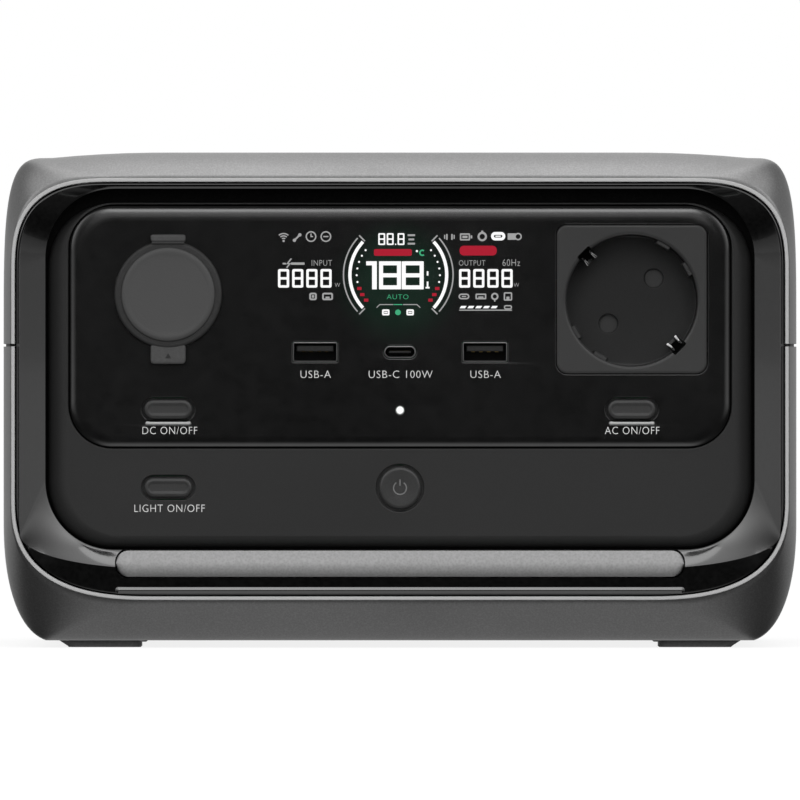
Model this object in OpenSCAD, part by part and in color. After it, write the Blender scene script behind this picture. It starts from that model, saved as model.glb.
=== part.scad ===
/* [Body] */
// Width of the case at its widest
body_w = 234.5; // [234:0.5:236]
// Height of the case above its feet, to the crown of the lid
body_h = 144.3; // [144:0.1:145]
// Height of the rubber feet
foot_h = 2.1; // [1.8:0.1:3]
// Depth of the whole station, from the bezel to the handle
total_d = 232; // [231:0.5:236]
// Depth of the case without the carrying handle
case_d = 186; // [185:0.5:187]
// Height above the ground of the joint between the two case halves
seam_z = 89.4; // [89:0.1:90]
// Thickness of the case walls
wall = 2.6; // [2.2:0.1:2.8]

/* [Front] */
// Half width of the opening inside the bezel
opening_hw = 104.6; // [104:0.1:105]
// Width of the glossy window
window_w = 195.2; // [194:0.2:196]
// Height of the glossy window
window_h = 71.3; // [71:0.1:72]
// Corner radius of the glossy window
window_r = 12.5; // [10:0.5:14]
// Length of the lamp bar under the controls
lamp_w = 167.6; // [150:0.2:168]
// Distance of the two sockets from the middle
socket_x = 68.5; // [68:0.1:69]

/* [Controls] */
// Width of the three long buttons
button_w = 14.2; // [13:0.1:15]
// Height of the three long buttons
button_h = 5.6; // [5:0.1:6]
// Diameter of the main power button
power_d = 12.4; // [11:0.1:13]
// Gap around each button
button_gap = 0.8; // [0.5:0.1:0.9]
// Travel of each button
button_travel = 0.8; // [0.5:0.1:0.8]

/* [Sockets] */
// Bore of the 12 volt barrel
barrel_bore = 21; // [20.9:0.1:21.4]
// Depth of the 12 volt barrel
barrel_depth = 38; // [36:1:40]
// Diameter of the recess in the mains socket
cup_d = 38.8; // [38.4:0.1:39.2]
// Depth of the recess in the mains socket
cup_depth = 17.5; // [17:0.1:18]
// Distance between the two mains pin holes
pin_pitch = 19; // [18.8:0.1:19.2]

/* [Battery] */
// Diameter of one cell
cell_d = 26.2; // [26:0.1:26.4]
// Length of one cell
cell_l = 70.4; // [70:0.1:71]
// Cells side by side
cell_columns = 5; // [4:1:5]
// Cells front to back
cell_rows = 4; // [3:1:4]

/* [Fans] */
// Side of each square fan
fan_w = 60; // [58:1:60]
// Thickness of each fan
fan_t = 20; // [15:1:20]
// Blades on each rotor
fan_blades = 7; // [5:1:9]

/* [Hidden] */
$fn = 64;

// The station stands on Z = 0 with its bounding box centred on X and Y; its front faces -Y.
front_y = -total_d / 2;
lip_y = front_y + 0.6;
waist_y = lip_y + 13;
rear_y = front_y + case_d;
shell_top = foot_h + body_h;

// An outline is [half width, bottom, top, bottom corner [rx, rz, power], top corner [rx, rz, power],
// crown height, lowest level]. A corner is a superellipse and the crown is a shallow arch on the top.
crown_h = 1.6;
crown_flat = 70;
lip_outline = [114.8, 14.1, 138.7, [42, 30, 2.6], [30, 28, 2.8], 0, 14.1];
waist_outline = [body_w / 2, foot_h - 0.5, shell_top - crown_h, [16.2, 36, 2.3], [14.4, 53.8, 4],
    crown_h, foot_h];
rear_outline = [109.5, 9.5, 137, [30, 30, 2.5], [26, 26, 2.5], 0, 9.5];
ring_inner = [opening_hw, 29.06, 135.5, [20.5, 20.5, 2.05], [20.5, 20.5, 2.05], 0, 0];
fascia_flat = [98.5, 33, 131.4, [17, 17, 2.1], [15, 15, 2.1], 0, 0];
fascia_edge = [104.2, 29.5, 135.1, [20, 20, 2.1], [20, 20, 2.1], 0, 0];
corner_steps = 12;
crown_steps = 5;

// Depths of the front stack
ring_edge_y = front_y + 4.6;
ring_back_y = front_y + 14.4;
fascia_y = front_y + 9.5;
lamp_back_y = front_y + 9.6;
window_y = front_y + 8.4;
window_back_y = front_y + 11.9;
carrier_y = front_y + 12;
carrier_step_y = front_y + 14.6;
carrier_back_y = front_y + 17;
board_y = front_y + 22;
board_t = 1.6;

// Heights of what is on the front
window_z = 94.95;
power_z = 47.2;
light_z = 47.3;
output_z = 70.4;
usb_z = 87.4;
usb_x = 25.1;
car_z = 104.4;
ac_z = 102.6;
lamp_z = 21;

// Battery, boards and fans
cell_pitch = 27;
cell_z = 12;
pack_y = -5;
holder_t = 8;
frame_z = 88;
frame_t = 2.5;
main_z = 96;
fan_y = 8;
fan_z = 52;
fan_x = 93;
vent_y = 10;
vent_w = 100;
vent_h = 56;
boss_x = 100;
boss_ys = [-52, 57];
handle_z0 = 108;
handle_z1 = 131;
inlet_z = 100.5;
ac_inlet_x = -32;
dc_inlet_x = 14;
rear_plate_y = rear_y - 4;
rear_screw_x = 88;
rear_screw_zs = [24, 96];
handle_t = 18;
handle_x = 73;
handle_bend = 17;
handle_root_y = rear_plate_y + 3;
handle_bar_y = front_y + total_d - handle_t / 2;
handle_mid_z = (handle_z0 + handle_z1) / 2;
grip_hw = 50;
handle_screw_x = 15;

function lerp(a, b, t) = a + (b - a) * t;
function blend(a, b, t) = [for (i = [0:len(a) - 1])
    is_list(a[i]) ? [for (k = [0:len(a[i]) - 1]) lerp(a[i][k], b[i][k], t)] : lerp(a[i], b[i], t)];
function inset(o, d) = [o[0] - d, o[1] + d, o[2] - d, [max(o[3][0] - d, 1), max(o[3][1] - d, 1), o[3][2]],
    [max(o[4][0] - d, 1), max(o[4][1] - d, 1), o[4][2]], o[5], o[6] + d];
function bend(r, p, c) = r * pow(c, 2 / p);

// Right half of an outline above the seam, from the side up to the middle of the top
function upper_half(o) = let (cx = o[0] - o[4][0], cz = o[2] - o[4][1]) concat(
    [for (i = [0:corner_steps]) let (a = 90 * i / corner_steps)
        [cx + bend(o[4][0], o[4][2], cos(a)), cz + bend(o[4][1], o[4][2], sin(a))]],
    [for (i = [1:crown_steps]) let (x = cx * (1 - i / crown_steps))
        [x, o[2] + o[5] * (1 - pow(max(0, x - crown_flat) / max(1, cx - crown_flat), 2))]]);
// Right half of an outline below the seam, from the side down to the middle of the bottom
function lower_half(o) = let (cx = o[0] - o[3][0], cz = o[1] + o[3][1]) concat(
    [for (i = [0:corner_steps]) let (a = 90 * i / corner_steps)
        [cx + bend(o[3][0], o[3][2], cos(a)), max(o[6], cz - bend(o[3][1], o[3][2], sin(a)))]],
    [for (i = [1:crown_steps]) [cx * (1 - i / crown_steps), max(o[6], o[1])]]);
function mirrored(h) = [for (i = [len(h) - 2:-1:0]) [-h[i][0], h[i][1]]];
function reversed(l) = [for (i = [len(l) - 1:-1:0]) l[i]];
function upper_arc(o) = let (h = concat([[o[0], seam_z + 0.4]], upper_half(o))) concat(h, mirrored(h));
function lower_arc(o) = let (h = concat([[o[0], seam_z - 0.4]], lower_half(o)))
    concat([for (p = h) [-p[0], p[1]]], reversed([for (i = [0:len(h) - 2]) h[i]]));
function full_loop(o) = let (u = upper_half(o), l = lower_half(o)) concat(u, mirrored(u),
    [for (p = l) [-p[0], p[1]]], reversed([for (i = [0:len(l) - 2]) l[i]]));

// Stations along the depth of the case: [y, outline, wall]
front_steps = [0, 0.1, 0.25, 0.45, 0.7, 1];
rear_steps = [0, 0.4, 0.7, 0.9, 1];
rear_round = 14;
stations = concat(
    [for (u = front_steps) [lip_y + 13 * u, blend(lip_outline, waist_outline, 1 - pow(1 - u, 1.6)),
        lerp(1.2, wall, min(1, 3 * u))]],
    [for (v = rear_steps) [rear_y - rear_round * (1 - v),
        blend(waist_outline, rear_outline, 1 - sqrt(1 - v * v)), wall]]);

function at_y(points, y) = [for (p = points) [p[0], y, p[1]]];

// Extrudes a shape drawn in X and Z from y0 back to y1
module along_y(y0, y1) {
    translate([0, y1, 0]) rotate([90, 0, 0]) linear_extrude(y1 - y0) children();
}

// Extrudes a shape drawn in Y and Z from x0 to x1
module along_x(x0, x1) {
    translate([x0, 0, 0]) rotate([90, 0, 90]) linear_extrude(x1 - x0) children();
}

module block(low, high) {
    translate(low) cube(high - low);
}

module round_rect(w, h, r) {
    square([w - 2 * r, h], center = true);
    square([w, h - 2 * r], center = true);
    for (x = [-1, 1], z = [-1, 1]) translate([x * (w / 2 - r), z * (h / 2 - r)]) circle(r);
}

module stadium(w, h) {
    square([w - h, h], center = true);
    for (x = [-1, 1]) translate([x * (w - h) / 2, 0]) circle(d = h);
}

// A curved wall between an outer and an inner open arc at each station
module arc_wall(outer, inner) {
    n = len(outer[0]);
    m = len(outer);
    points = concat([for (r = outer) each r], [for (r = inner) each r]);
    base = n * m;
    faces = concat(
        [for (j = [0:m - 2], i = [0:n - 2]) [j * n + i, j * n + i + 1, (j + 1) * n + i + 1, (j + 1) * n + i]],
        [for (j = [0:m - 2], i = [0:n - 2]) [base + j * n + i, base + (j + 1) * n + i,
            base + (j + 1) * n + i + 1, base + j * n + i + 1]],
        [for (i = [0:n - 2]) [i, base + i, base + i + 1, i + 1]],
        [for (i = [0:n - 2]) [(m - 1) * n + i, (m - 1) * n + i + 1, base + (m - 1) * n + i + 1,
            base + (m - 1) * n + i]],
        [for (j = [0:m - 2]) [j * n, (j + 1) * n, base + (j + 1) * n, base + j * n]],
        [for (j = [0:m - 2]) [(j + 1) * n - 1, base + (j + 1) * n - 1, base + (j + 2) * n - 1,
            (j + 2) * n - 1]]);
    polyhedron(points, faces, convexity = 6);
}

// A frame whose cross section is the list of loops, closed both ways
module loop_frame(loops) {
    n = len(loops[0]);
    m = len(loops);
    faces = [for (k = [0:m - 1], i = [0:n - 1]) let (k2 = (k + 1) % m, i2 = (i + 1) % n)
        [k * n + i, k2 * n + i, k2 * n + i2, k * n + i2]];
    polyhedron([for (l = loops) each l], faces, convexity = 6);
}

// A solid through a stack of loops, flat at both ends, from the front loop to the back one
module loop_stack(loops) {
    n = len(loops[0]);
    m = len(loops);
    sides = [for (k = [0:m - 2], i = [0:n - 1]) let (i2 = (i + 1) % n)
        [k * n + i, k * n + i2, (k + 1) * n + i2, (k + 1) * n + i]];
    polyhedron([for (l = loops) each l],
        concat([[for (i = [n - 1:-1:0]) i]], sides, [[for (i = [0:n - 1]) (m - 1) * n + i]]), convexity = 4);
}

// Posts behind the rear panel, each tied to the side wall by a rib
module panel_posts(z) {
    for (side = [-1, 1]) {
        translate([side * rear_screw_x, 0, z]) along_y(rear_plate_y - 16, rear_plate_y) circle(r = 4.2);
        translate([side * (rear_screw_x + 12.5), rear_plate_y - 2.5, z]) cube([25, 5, 2.4], center = true);
    }
}

module panel_post_holes(z) {
    for (side = [-1, 1]) translate([side * rear_screw_x, 0, z])
        along_y(rear_plate_y - 13, rear_plate_y + 1) circle(r = 1.6);
}

module vent_opening(side) {
    translate([0, vent_y, fan_z]) along_x(side > 0 ? 100 : -130, side > 0 ? 130 : -100)
        round_rect(vent_w, vent_h, 8);
}

module upper_shell() {
    color("dimgray") difference() {
        union() {
            arc_wall([for (s = stations) at_y(upper_arc(s[1]), s[0])],
                [for (s = stations) at_y(upper_arc(inset(s[1], s[2])), s[0])]);
            for (x = [-boss_x, boss_x], y = boss_ys)
                translate([x, y, frame_z + frame_t]) cylinder(r = 4.5, h = 142.5 - frame_z - frame_t);
            panel_posts(rear_screw_zs[1]);
        }
        panel_post_holes(rear_screw_zs[1]);
        for (x = [-boss_x, boss_x], y = boss_ys)
            translate([x, y, frame_z + frame_t - 1]) cylinder(r = 1.6, h = 12);
    }
}

module lower_shell() {
    color("dimgray") difference() {
        union() {
            arc_wall([for (s = stations) at_y(lower_arc(s[1]), s[0])],
                [for (s = stations) at_y(lower_arc(inset(s[1], s[2])), s[0])]);
            for (x = [-boss_x, boss_x], y = boss_ys)
                translate([x, y, foot_h + 1]) cylinder(r = 5.2, h = frame_z - foot_h - 1);
            panel_posts(rear_screw_zs[0]);
        }
        panel_post_holes(rear_screw_zs[0]);
        for (x = [-boss_x, boss_x], y = boss_ys) {
            translate([x, y, foot_h - 1]) cylinder(r = 3.4, h = 70);
            translate([x, y, foot_h]) cylinder(r = 1.8, h = frame_z);
        }
        for (side = [-1, 1]) {
            vent_opening(side);
            translate([0, vent_y, fan_z]) along_x(side > 0 ? 112 : -114.4, side > 0 ? 114.4 : -112)
                round_rect(vent_w + 5.2, vent_h + 5.2, 9.1);
        }
    }
}

// Soft strips that seal the joint between the case halves
module seam_strips() {
    last = rear_y - rear_round;
    color("black") for (side = [-1, 1]) translate([0, 0, seam_z - 0.4]) linear_extrude(0.8)
        polygon([[side * 114.3, waist_y], [side * (body_w / 2 - 2.4), waist_y],
            [side * (body_w / 2 - 2.4), last], [side * (body_w / 2 - 0.8), last],
            [side * (body_w / 2 - 0.8), waist_y], [side * 114.5, lip_y + 3]]);
}

module lamp_outline(grow) {
    translate([0, (lamp_z + ring_inner[1]) / 2])
        round_rect(lamp_w + 2 * grow, ring_inner[1] - lamp_z + 2 * grow, 3.6);
}

module bezel_ring() {
    outer = inset(lip_outline, 1.6);
    color("slategray") difference() {
        loop_frame([at_y(full_loop(outer), front_y + 0.8), at_y(full_loop(inset(outer, 1.1)), front_y),
            at_y(full_loop(ring_inner), ring_edge_y), at_y(full_loop(ring_inner), ring_back_y),
            at_y(full_loop(outer), ring_back_y)]);
        along_y(front_y - 1, lamp_back_y) lamp_outline(0.3);
    }
}

module light_bar() {
    color("silver") intersection() {
        along_y(front_y + 1, lamp_back_y - 1.6) lamp_outline(0);
        along_x(-body_w / 2, body_w / 2) polygon([[front_y + 1.6, lamp_z - 1], [ring_edge_y - 0.2, 30],
            [lamp_back_y, 30], [lamp_back_y, lamp_z - 1]]);
    }
}

module light_bar_board() {
    color("darkgreen") block([-81, lamp_back_y - 1.4, 22], [81, lamp_back_y - 0.2, 28]);
}

module button_hole(x, z, grow) {
    translate([x, z]) stadium(button_w + 2 * grow, button_h + 2 * grow);
}

module power_hole(grow) {
    translate([0, power_z]) circle(d = power_d + 2 * grow);
}

module window_hole(grow) {
    translate([0, window_z]) round_rect(window_w + 2 * grow, window_h + 2 * grow, window_r + grow);
}

module fascia() {
    color("darkslategray") difference() {
        loop_stack([for (a = [0, 30, 60, 90]) at_y(full_loop(blend(fascia_flat, fascia_edge, sin(a))),
            fascia_y + 5 * (1 - cos(a)))]);
        along_y(fascia_y + 2.4, fascia_y + 6) translate([0, 82.3]) round_rect(201, 97, 17);
        along_y(fascia_y - 1, fascia_y + 6) {
            window_hole(0.4);
            button_hole(-socket_x, light_z, button_gap);
            power_hole(button_gap);
        }
    }
}

// Holes that the window and the carrier share: sockets, outlets and their buttons
module port_holes(grow) {
    translate([-socket_x, car_z]) circle(r = 14.8);
    translate([socket_x, ac_z + 0.4]) round_rect(44.9 + grow, 44.5 + grow, 3.4);
    for (x = [-usb_x, usb_x]) translate([x, usb_z]) square([13.6 + grow, 6.2 + grow], center = true);
    translate([0, usb_z]) stadium(9.9 + grow, 4.1 + grow);
    for (x = [-socket_x, socket_x]) button_hole(x, output_z, button_gap + grow / 2);
    translate([0, 70.2]) circle(r = 1.25);
}

module indicator_slot(x, grow) {
    translate([x, 66.4]) stadium(13.4 + 2 * grow, 0.9 + 2 * grow);
}

module display_window() {
    color("black") along_y(window_y, window_back_y) difference() {
        window_hole(0);
        port_holes(0);
        for (x = [-socket_x, socket_x]) indicator_slot(x, 0.05);
    }
}

module front_carrier() {
    color("gray") difference() {
        union() {
            along_y(carrier_y, carrier_back_y) translate([0, 82.3]) round_rect(200, 96, 16);
            along_y(carrier_step_y, carrier_back_y) polygon(full_loop(inset(lip_outline, 2.6)));
        }
        along_y(carrier_y - 1, carrier_back_y + 1) {
            port_holes(2.6);
            translate([0, 111]) square([77, 31], center = true);
            button_hole(-socket_x, light_z, button_gap + 1.3);
            power_hole(button_gap + 1.3);
            for (x = [-socket_x, socket_x]) indicator_slot(x, 0.1);
        }
    }
}

module display_board() {
    color("darkgreen") along_y(board_y, board_y + board_t) difference() {
        union() {
            translate([0, 84]) square([84, 84], center = true);
            translate([0, 60]) square([158, 36], center = true);
        }
        for (x = [-38, 38], z = [46, 122]) translate([x, z]) circle(r = 1.6);
    }
}

module lcd_module() {
    color("lightgray") block([-38, carrier_y + 0.2, 96], [38, board_y, 126]);
}

module tact_switches() {
    places = [[-socket_x, output_z], [socket_x, output_z], [-socket_x, light_z], [0, power_z]];
    color("dimgray") for (p = places) translate([p[0], 0, p[1]]) {
        along_y(board_y - 3.5, board_y) square([6, 6], center = true);
        along_y(board_y - 4.6, board_y - 3) circle(r = 1.7);
    }
}

module light_pipes() {
    color("white") along_y(window_y - 0.05, board_y - 0.2) {
        translate([0, 70.2]) circle(r = 1.1);
        for (x = [-socket_x, socket_x]) indicator_slot(x, 0);
    }
}

// A cap with a retaining flange and a stem that reaches its switch
module button_parts(x, z, y0) {
    along_y(y0, carrier_y + 1.4) children(0);
    along_y(carrier_y + 0.1, carrier_y + 1.2) children(1);
    along_y(carrier_y + 0.6, board_y - 4.6 - button_travel - 0.3) translate([x, z]) circle(r = 1.5);
}

module long_button(x, z, y0) {
    button_parts(x, z, y0) {
        button_hole(x, z, 0);
        translate([x, z]) stadium(button_w + 2 * button_gap + 1.2, button_h + 1);
    }
}

module power_button() {
    color("dimgray") button_parts(0, power_z, fascia_y - 0.5) {
        power_hole(0);
        power_hole(button_gap + 0.6);
    }
}

module ac_button() {
    color("dimgray") long_button(socket_x, output_z, window_y - 0.6);
}

module dc_button() {
    color("dimgray") long_button(-socket_x, output_z, window_y - 0.6);
}

module light_button() {
    color("dimgray") long_button(-socket_x, light_z, fascia_y - 0.5);
}

module usb_a_shell(x) {
    color("silver") translate([x, 0, usb_z]) difference() {
        along_y(window_y + 0.2, board_y - 0.1) square([13.2, 5.8], center = true);
        along_y(window_y - 1, board_y - 1) square([12.5, 5.1], center = true);
    }
}

module usb_a_left_shell() {
    usb_a_shell(-usb_x);
}

module usb_a_right_shell() {
    usb_a_shell(usb_x);
}

module usb_c_shell() {
    color("silver") translate([0, 0, usb_z]) difference() {
        along_y(window_y + 0.2, board_y - 0.1) stadium(9.4, 3.6);
        along_y(window_y - 1, board_y - 1) stadium(8.6, 2.8);
    }
}

module usb_tongues() {
    color("darkgray") {
        for (x = [-usb_x, usb_x]) translate([x, 0, usb_z + 1])
            along_y(window_y + 2, board_y - 1) square([11, 1.8], center = true);
        translate([0, 0, usb_z]) along_y(window_y + 2, board_y - 1) square([6.6, 0.7], center = true);
    }
}

barrel_y = window_y + 4.2;

module car_socket_housing() {
    color("dimgray") translate([-socket_x, 0, car_z]) difference() {
        union() {
            along_y(window_y + 0.4, window_y + 2.4) circle(r = 14.6);
            along_y(window_y + 2, window_y + barrel_depth + 8) circle(r = 13.6);
        }
        along_y(window_y - 1, window_y + barrel_depth + 4) circle(r = barrel_bore / 2 + 1.05);
        along_y(window_y + barrel_depth, window_y + barrel_depth + 9) circle(r = 3.2);
    }
}

module car_socket_barrel() {
    color("silver") translate([-socket_x, 0, car_z]) difference() {
        along_y(barrel_y, window_y + barrel_depth + 1) circle(r = barrel_bore / 2 + 1);
        along_y(window_y, window_y + barrel_depth + 2) circle(d = barrel_bore);
    }
}

module car_socket_contact() {
    color("gold") translate([-socket_x, 0, car_z]) {
        along_y(window_y + barrel_depth + 2.2, window_y + barrel_depth + 3.8) circle(r = 6);
        along_y(window_y + barrel_depth + 3, window_y + barrel_depth + 14) circle(r = 3);
    }
}

cap_r = 15.9;
cap_front = 2.2;
cap_top_z = 119.6;
hinge_bead_r = 0.45;
plug_r = barrel_bore / 2 + 0.1;

// Rubber cover: a stepped disc, a plug in the mouth of the housing and a lift tab; it turns on a bead
// along its top edge
module car_socket_cap() {
    color("darkslategray") translate([0, window_y - cap_front, cap_top_z])
        along_x(-socket_x - 4.8, -socket_x + 4.8) circle(r = hinge_bead_r);
    color("darkslategray") difference() {
        translate([-socket_x, 0, car_z]) {
            along_y(window_y - cap_front, window_y - 0.1) circle(r = cap_r);
            along_y(window_y - cap_front - 1, window_y - cap_front + 0.2) circle(r = 13.9);
            along_y(window_y - 0.2, window_y + 3.2) difference() {
                circle(r = plug_r);
                circle(r = plug_r - 2.4);
            }
            along_y(window_y - cap_front + 0.3, window_y - 0.1)
                translate([0, -17.8]) round_rect(10.4, 5.6, 1.2);
        }
        block([-socket_x - 10, window_y - 5, cap_top_z], [-socket_x + 10, window_y + 1, cap_top_z + 5]);
    }
}

module cap_anchor() {
    color("darkslategray") along_y(window_y - 1.8, window_y)
        translate([-socket_x, cap_top_z + 1.4]) round_rect(10.4, 2.2, 0.8);
}

module ac_ring(r, a0) {
    for (a = [a0, a0 + 180]) rotate(a) translate([r, 0]) children();
}

module ac_place() {
    translate([socket_x, 0, ac_z]) children();
}

module ac_socket_cup() {
    floor_y = window_y - 0.3 + cup_depth;
    color("dimgray") ac_place() {
        difference() {
            union() {
                along_y(window_y - 0.3, window_y + 2.8) translate([0, 0.4]) round_rect(44.5, 44.1, 3.2);
                along_y(window_y + 2, floor_y + 2.4) circle(r = cup_d / 2 + 1.7);
            }
            along_y(window_y - 1, floor_y) circle(d = cup_d);
            along_y(window_y, floor_y + 3) ac_ring(pin_pitch / 2, 45) circle(r = 2.75);
            along_y(window_y - 1, floor_y - 3) ac_ring(cup_d / 2, 135) square([5, 8], center = true);
        }
        for (a = [45, 225], b = [-15.5, 15.5]) along_y(window_y + 1, floor_y)
            rotate(a + b) translate([cup_d / 2 - 0.2, 0]) square([2.2, 4.6], center = true);
    }
}

// Turns on a pin behind the cup; its two wings cover the pin holes
module ac_socket_shutter() {
    y0 = window_y + cup_depth + 2.4;
    color("slategray") ac_place() difference() {
        along_y(y0, y0 + 2) union() {
            circle(r = 4);
            ac_ring(7.5, 45) square([14, 6.6], center = true);
        }
        along_y(y0 - 1, y0 + 3) circle(r = 1.55);
    }
}

module ac_socket_back() {
    y0 = window_y + cup_depth + 2.1;
    color("gray") ac_place() {
        difference() {
            along_y(y0, y0 + 26) circle(r = cup_d / 2 + 1.7);
            along_y(y0 - 1, y0 + 2.8) circle(r = cup_d / 2);
            along_y(y0 + 2, y0 + 22) ac_ring(pin_pitch / 2, 45) circle(r = 3.6);
        }
        along_y(y0 + 0.2, y0 + 3) circle(r = 1.5);
    }
}

module ac_socket_contacts() {
    y0 = window_y + cup_depth + 5.2;
    color("gold") ac_place() along_y(y0, y0 + 18) ac_ring(pin_pitch / 2, 45) difference() {
        circle(r = 3.3);
        circle(r = 2.35);
    }
}

// Spring strips that stand out of the wall of the recess
module ac_earth_clips() {
    color("silver") ac_place() for (a = [135, 315]) rotate([0, -a, 0]) {
        block([cup_d / 2 + 1, window_y + 1.2, -2.4], [cup_d / 2 + 1.8, window_y + cup_depth - 4, 2.4]);
        block([cup_d / 2 - 1.6, window_y + 1.2, -2.4], [cup_d / 2 + 1.2, window_y + 2, 2.4]);
        block([cup_d / 2 - 1.6, window_y + 1.4, -2.4], [cup_d / 2 - 0.8, window_y + 11, 2.4]);
    }
}

function row_y(j) = pack_y + (j - (cell_rows - 1) / 2) * cell_pitch;

module cell_places() {
    for (i = [0:cell_columns - 1], j = [0:cell_rows - 1])
        translate([(i - (cell_columns - 1) / 2) * cell_pitch, row_y(j), 0]) children();
}

module cell_holder(z) {
    difference() {
        translate([0, pack_y, z]) linear_extrude(holder_t)
            round_rect(cell_columns * cell_pitch + 4, cell_rows * cell_pitch + 4, 6);
        translate([0, 0, z - 1]) cell_places() cylinder(d = cell_d + 0.2, h = holder_t + 2);
    }
}

module cell_holder_lower() {
    color("black") cell_holder(cell_z);
}

module cell_holder_upper() {
    color("black") cell_holder(cell_z + cell_l - holder_t);
}

module battery_cells() {
    color("teal") translate([0, 0, cell_z]) cell_places() cylinder(d = cell_d, h = cell_l);
}

module busbars() {
    color("silver") for (z = [cell_z - 0.5, cell_z + cell_l + 0.1], j = [0:cell_rows - 1])
        translate([0, row_y(j), z + 0.2])
            cube([cell_columns * cell_pitch - 12, 9, 0.4], center = true);
}

module battery_board() {
    color("darkgreen") block([-72.6, pack_y - 48, 18], [-71, pack_y + 48, 78]);
    color("dimgray") for (y = [-30:20:30])
        block([-76, pack_y + y - 5, 30], [-72.6, pack_y + y + 5, 46]);
}

module mid_frame() {
    color("gray") difference() {
        block([-109, -70, frame_z], [109, 62, frame_z + frame_t]);
        for (x = [-boss_x, boss_x], y = boss_ys) translate([x, y, frame_z - 1]) cylinder(r = 1.8, h = 5);
        for (x = [-88, 88], y = [-30:15:30]) translate([x, y, frame_z - 1]) cylinder(r = 5, h = 5);
        block([46, -71, frame_z - 1], [91, -60, frame_z + frame_t + 1]);
    }
}

module main_board() {
    color("darkgreen") difference() {
        block([-92, -54, main_z], [92, 36, main_z + board_t]);
        for (x = [-86, 86], y = [-48, 30]) translate([x, y, main_z - 1]) cylinder(r = 1.8, h = 4);
    }
    color("silver") for (x = [-86, 86], y = [-48, 30]) translate([x, y, frame_z + frame_t]) difference() {
        cylinder(r = 3, h = main_z - frame_z - frame_t);
        translate([0, 0, 1]) cylinder(r = 1.3, h = main_z);
    }
}

module transformer() {
    base = main_z + board_t;
    color("gold") translate([0, -8, base]) {
        difference() {
            block([-21, -17, 0], [21, 17, 32]);
            for (x = [-1, 1]) translate([x * 10.5, 0, 16]) cube([8, 40, 20], center = true);
        }
        difference() {
            translate([0, 0, 6.4]) cylinder(r = 14, h = 19.2);
            translate([0, 0, 16]) cube([13.2, 34.2, 40], center = true);
        }
    }
}

module filter_chokes() {
    color("chocolate") for (p = [[42, 18], [-44, 18], [42, -32]])
        translate([p[0], p[1], main_z + board_t + 6]) rotate_extrude() translate([9, 0]) circle(r = 5.8);
}

module bulk_capacitors() {
    color("navy") for (p = [[-44, -36], [-44, -10], [-22, -38], [0, 24]])
        translate([p[0], p[1], main_z + board_t]) cylinder(r = 10, h = 34);
}

module heatsink(x) {
    color("silver") translate([x, -8, main_z + board_t]) {
        block([-2, -36, 0], [2, 36, 36]);
        for (z = [6:6:36]) block([-8, -36, z - 1.6], [8, 36, z]);
    }
}

module heatsink_left() {
    heatsink(-72);
}

module heatsink_right() {
    heatsink(66);
}

module fan_frame(x) {
    color("black") translate([x, fan_y, fan_z]) {
        difference() {
            along_x(0, fan_t) round_rect(fan_w, fan_w, 4);
            along_x(-1, fan_t + 1) {
                circle(r = fan_w / 2 - 1.6);
                for (y = [-1, 1], z = [-1, 1])
                    translate([y * (fan_w / 2 - 5), z * (fan_w / 2 - 5)]) circle(r = 2.1);
            }
        }
        along_x(0, 2) circle(r = 12);
        along_x(0, 2) for (a = [20:120:270]) rotate(a) translate([fan_w / 4, 0])
            square([fan_w / 2 - 1, 3], center = true);
        along_x(1.5, 9) circle(r = 1.5);
    }
}

module fan_rotor(x) {
    tip = fan_w / 2 - 2.6;
    color("dimgray") translate([x, fan_y, fan_z]) {
        difference() {
            along_x(2.6, fan_t - 1) circle(r = 12);
            along_x(2, 10) circle(r = 1.55);
        }
        for (k = [0:fan_blades - 1]) rotate([360 * k / fan_blades, 0, 0])
            translate([fan_t / 2 + 1, 0, (11 + tip) / 2]) rotate([0, 0, 38])
                cube([1.6, 13, tip - 11], center = true);
    }
}

module fan_left_frame() {
    mirror([1, 0, 0]) fan_frame(fan_x);
}

module fan_left_rotor() {
    mirror([1, 0, 0]) fan_rotor(fan_x);
}

module fan_right_frame() {
    fan_frame(fan_x);
}

module fan_right_rotor() {
    fan_rotor(fan_x);
}

vent_slots = 15;
slot_pitch = 6;

// Slotted panel that fills the vent opening, with a flange behind the case wall
module vent_grille() {
    color("darkslategray") translate([0, vent_y, fan_z]) difference() {
        union() {
            along_x(113.4, 116) round_rect(vent_w - 0.6, vent_h - 0.6, 7.7);
            along_x(113.2, 114.3) round_rect(vent_w + 5, vent_h + 5, 9);
        }
        along_x(112, 118) for (i = [0:vent_slots - 1])
            translate([(i - (vent_slots - 1) / 2) * slot_pitch, 0]) rotate(90) stadium(vent_h - 12, 3.2);
    }
}

module vent_grille_left() {
    mirror([1, 0, 0]) vent_grille();
}

module vent_grille_right() {
    vent_grille();
}

module rear_panel() {
    color("darkslategray") difference() {
        along_y(rear_plate_y, rear_plate_y + 3) polygon(full_loop(inset(rear_outline, wall + 0.35)));
        along_y(rear_plate_y - 1, rear_plate_y + 4) {
            translate([ac_inlet_x, inlet_z]) square([27.6, 20.4], center = true);
            translate([dc_inlet_x, inlet_z]) square([16.4, 8.6], center = true);
            for (i = [-8:8]) translate([i * 7, 52]) rotate(90) stadium(42, 3.2);
            for (x = [-rear_screw_x, rear_screw_x], z = rear_screw_zs) translate([x, z]) circle(r = 1.8);
            for (x = [-handle_x, handle_x], s = [-1, 1])
                translate([x + s * handle_screw_x, handle_mid_z]) circle(r = 1.8);
        }
    }
}

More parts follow.
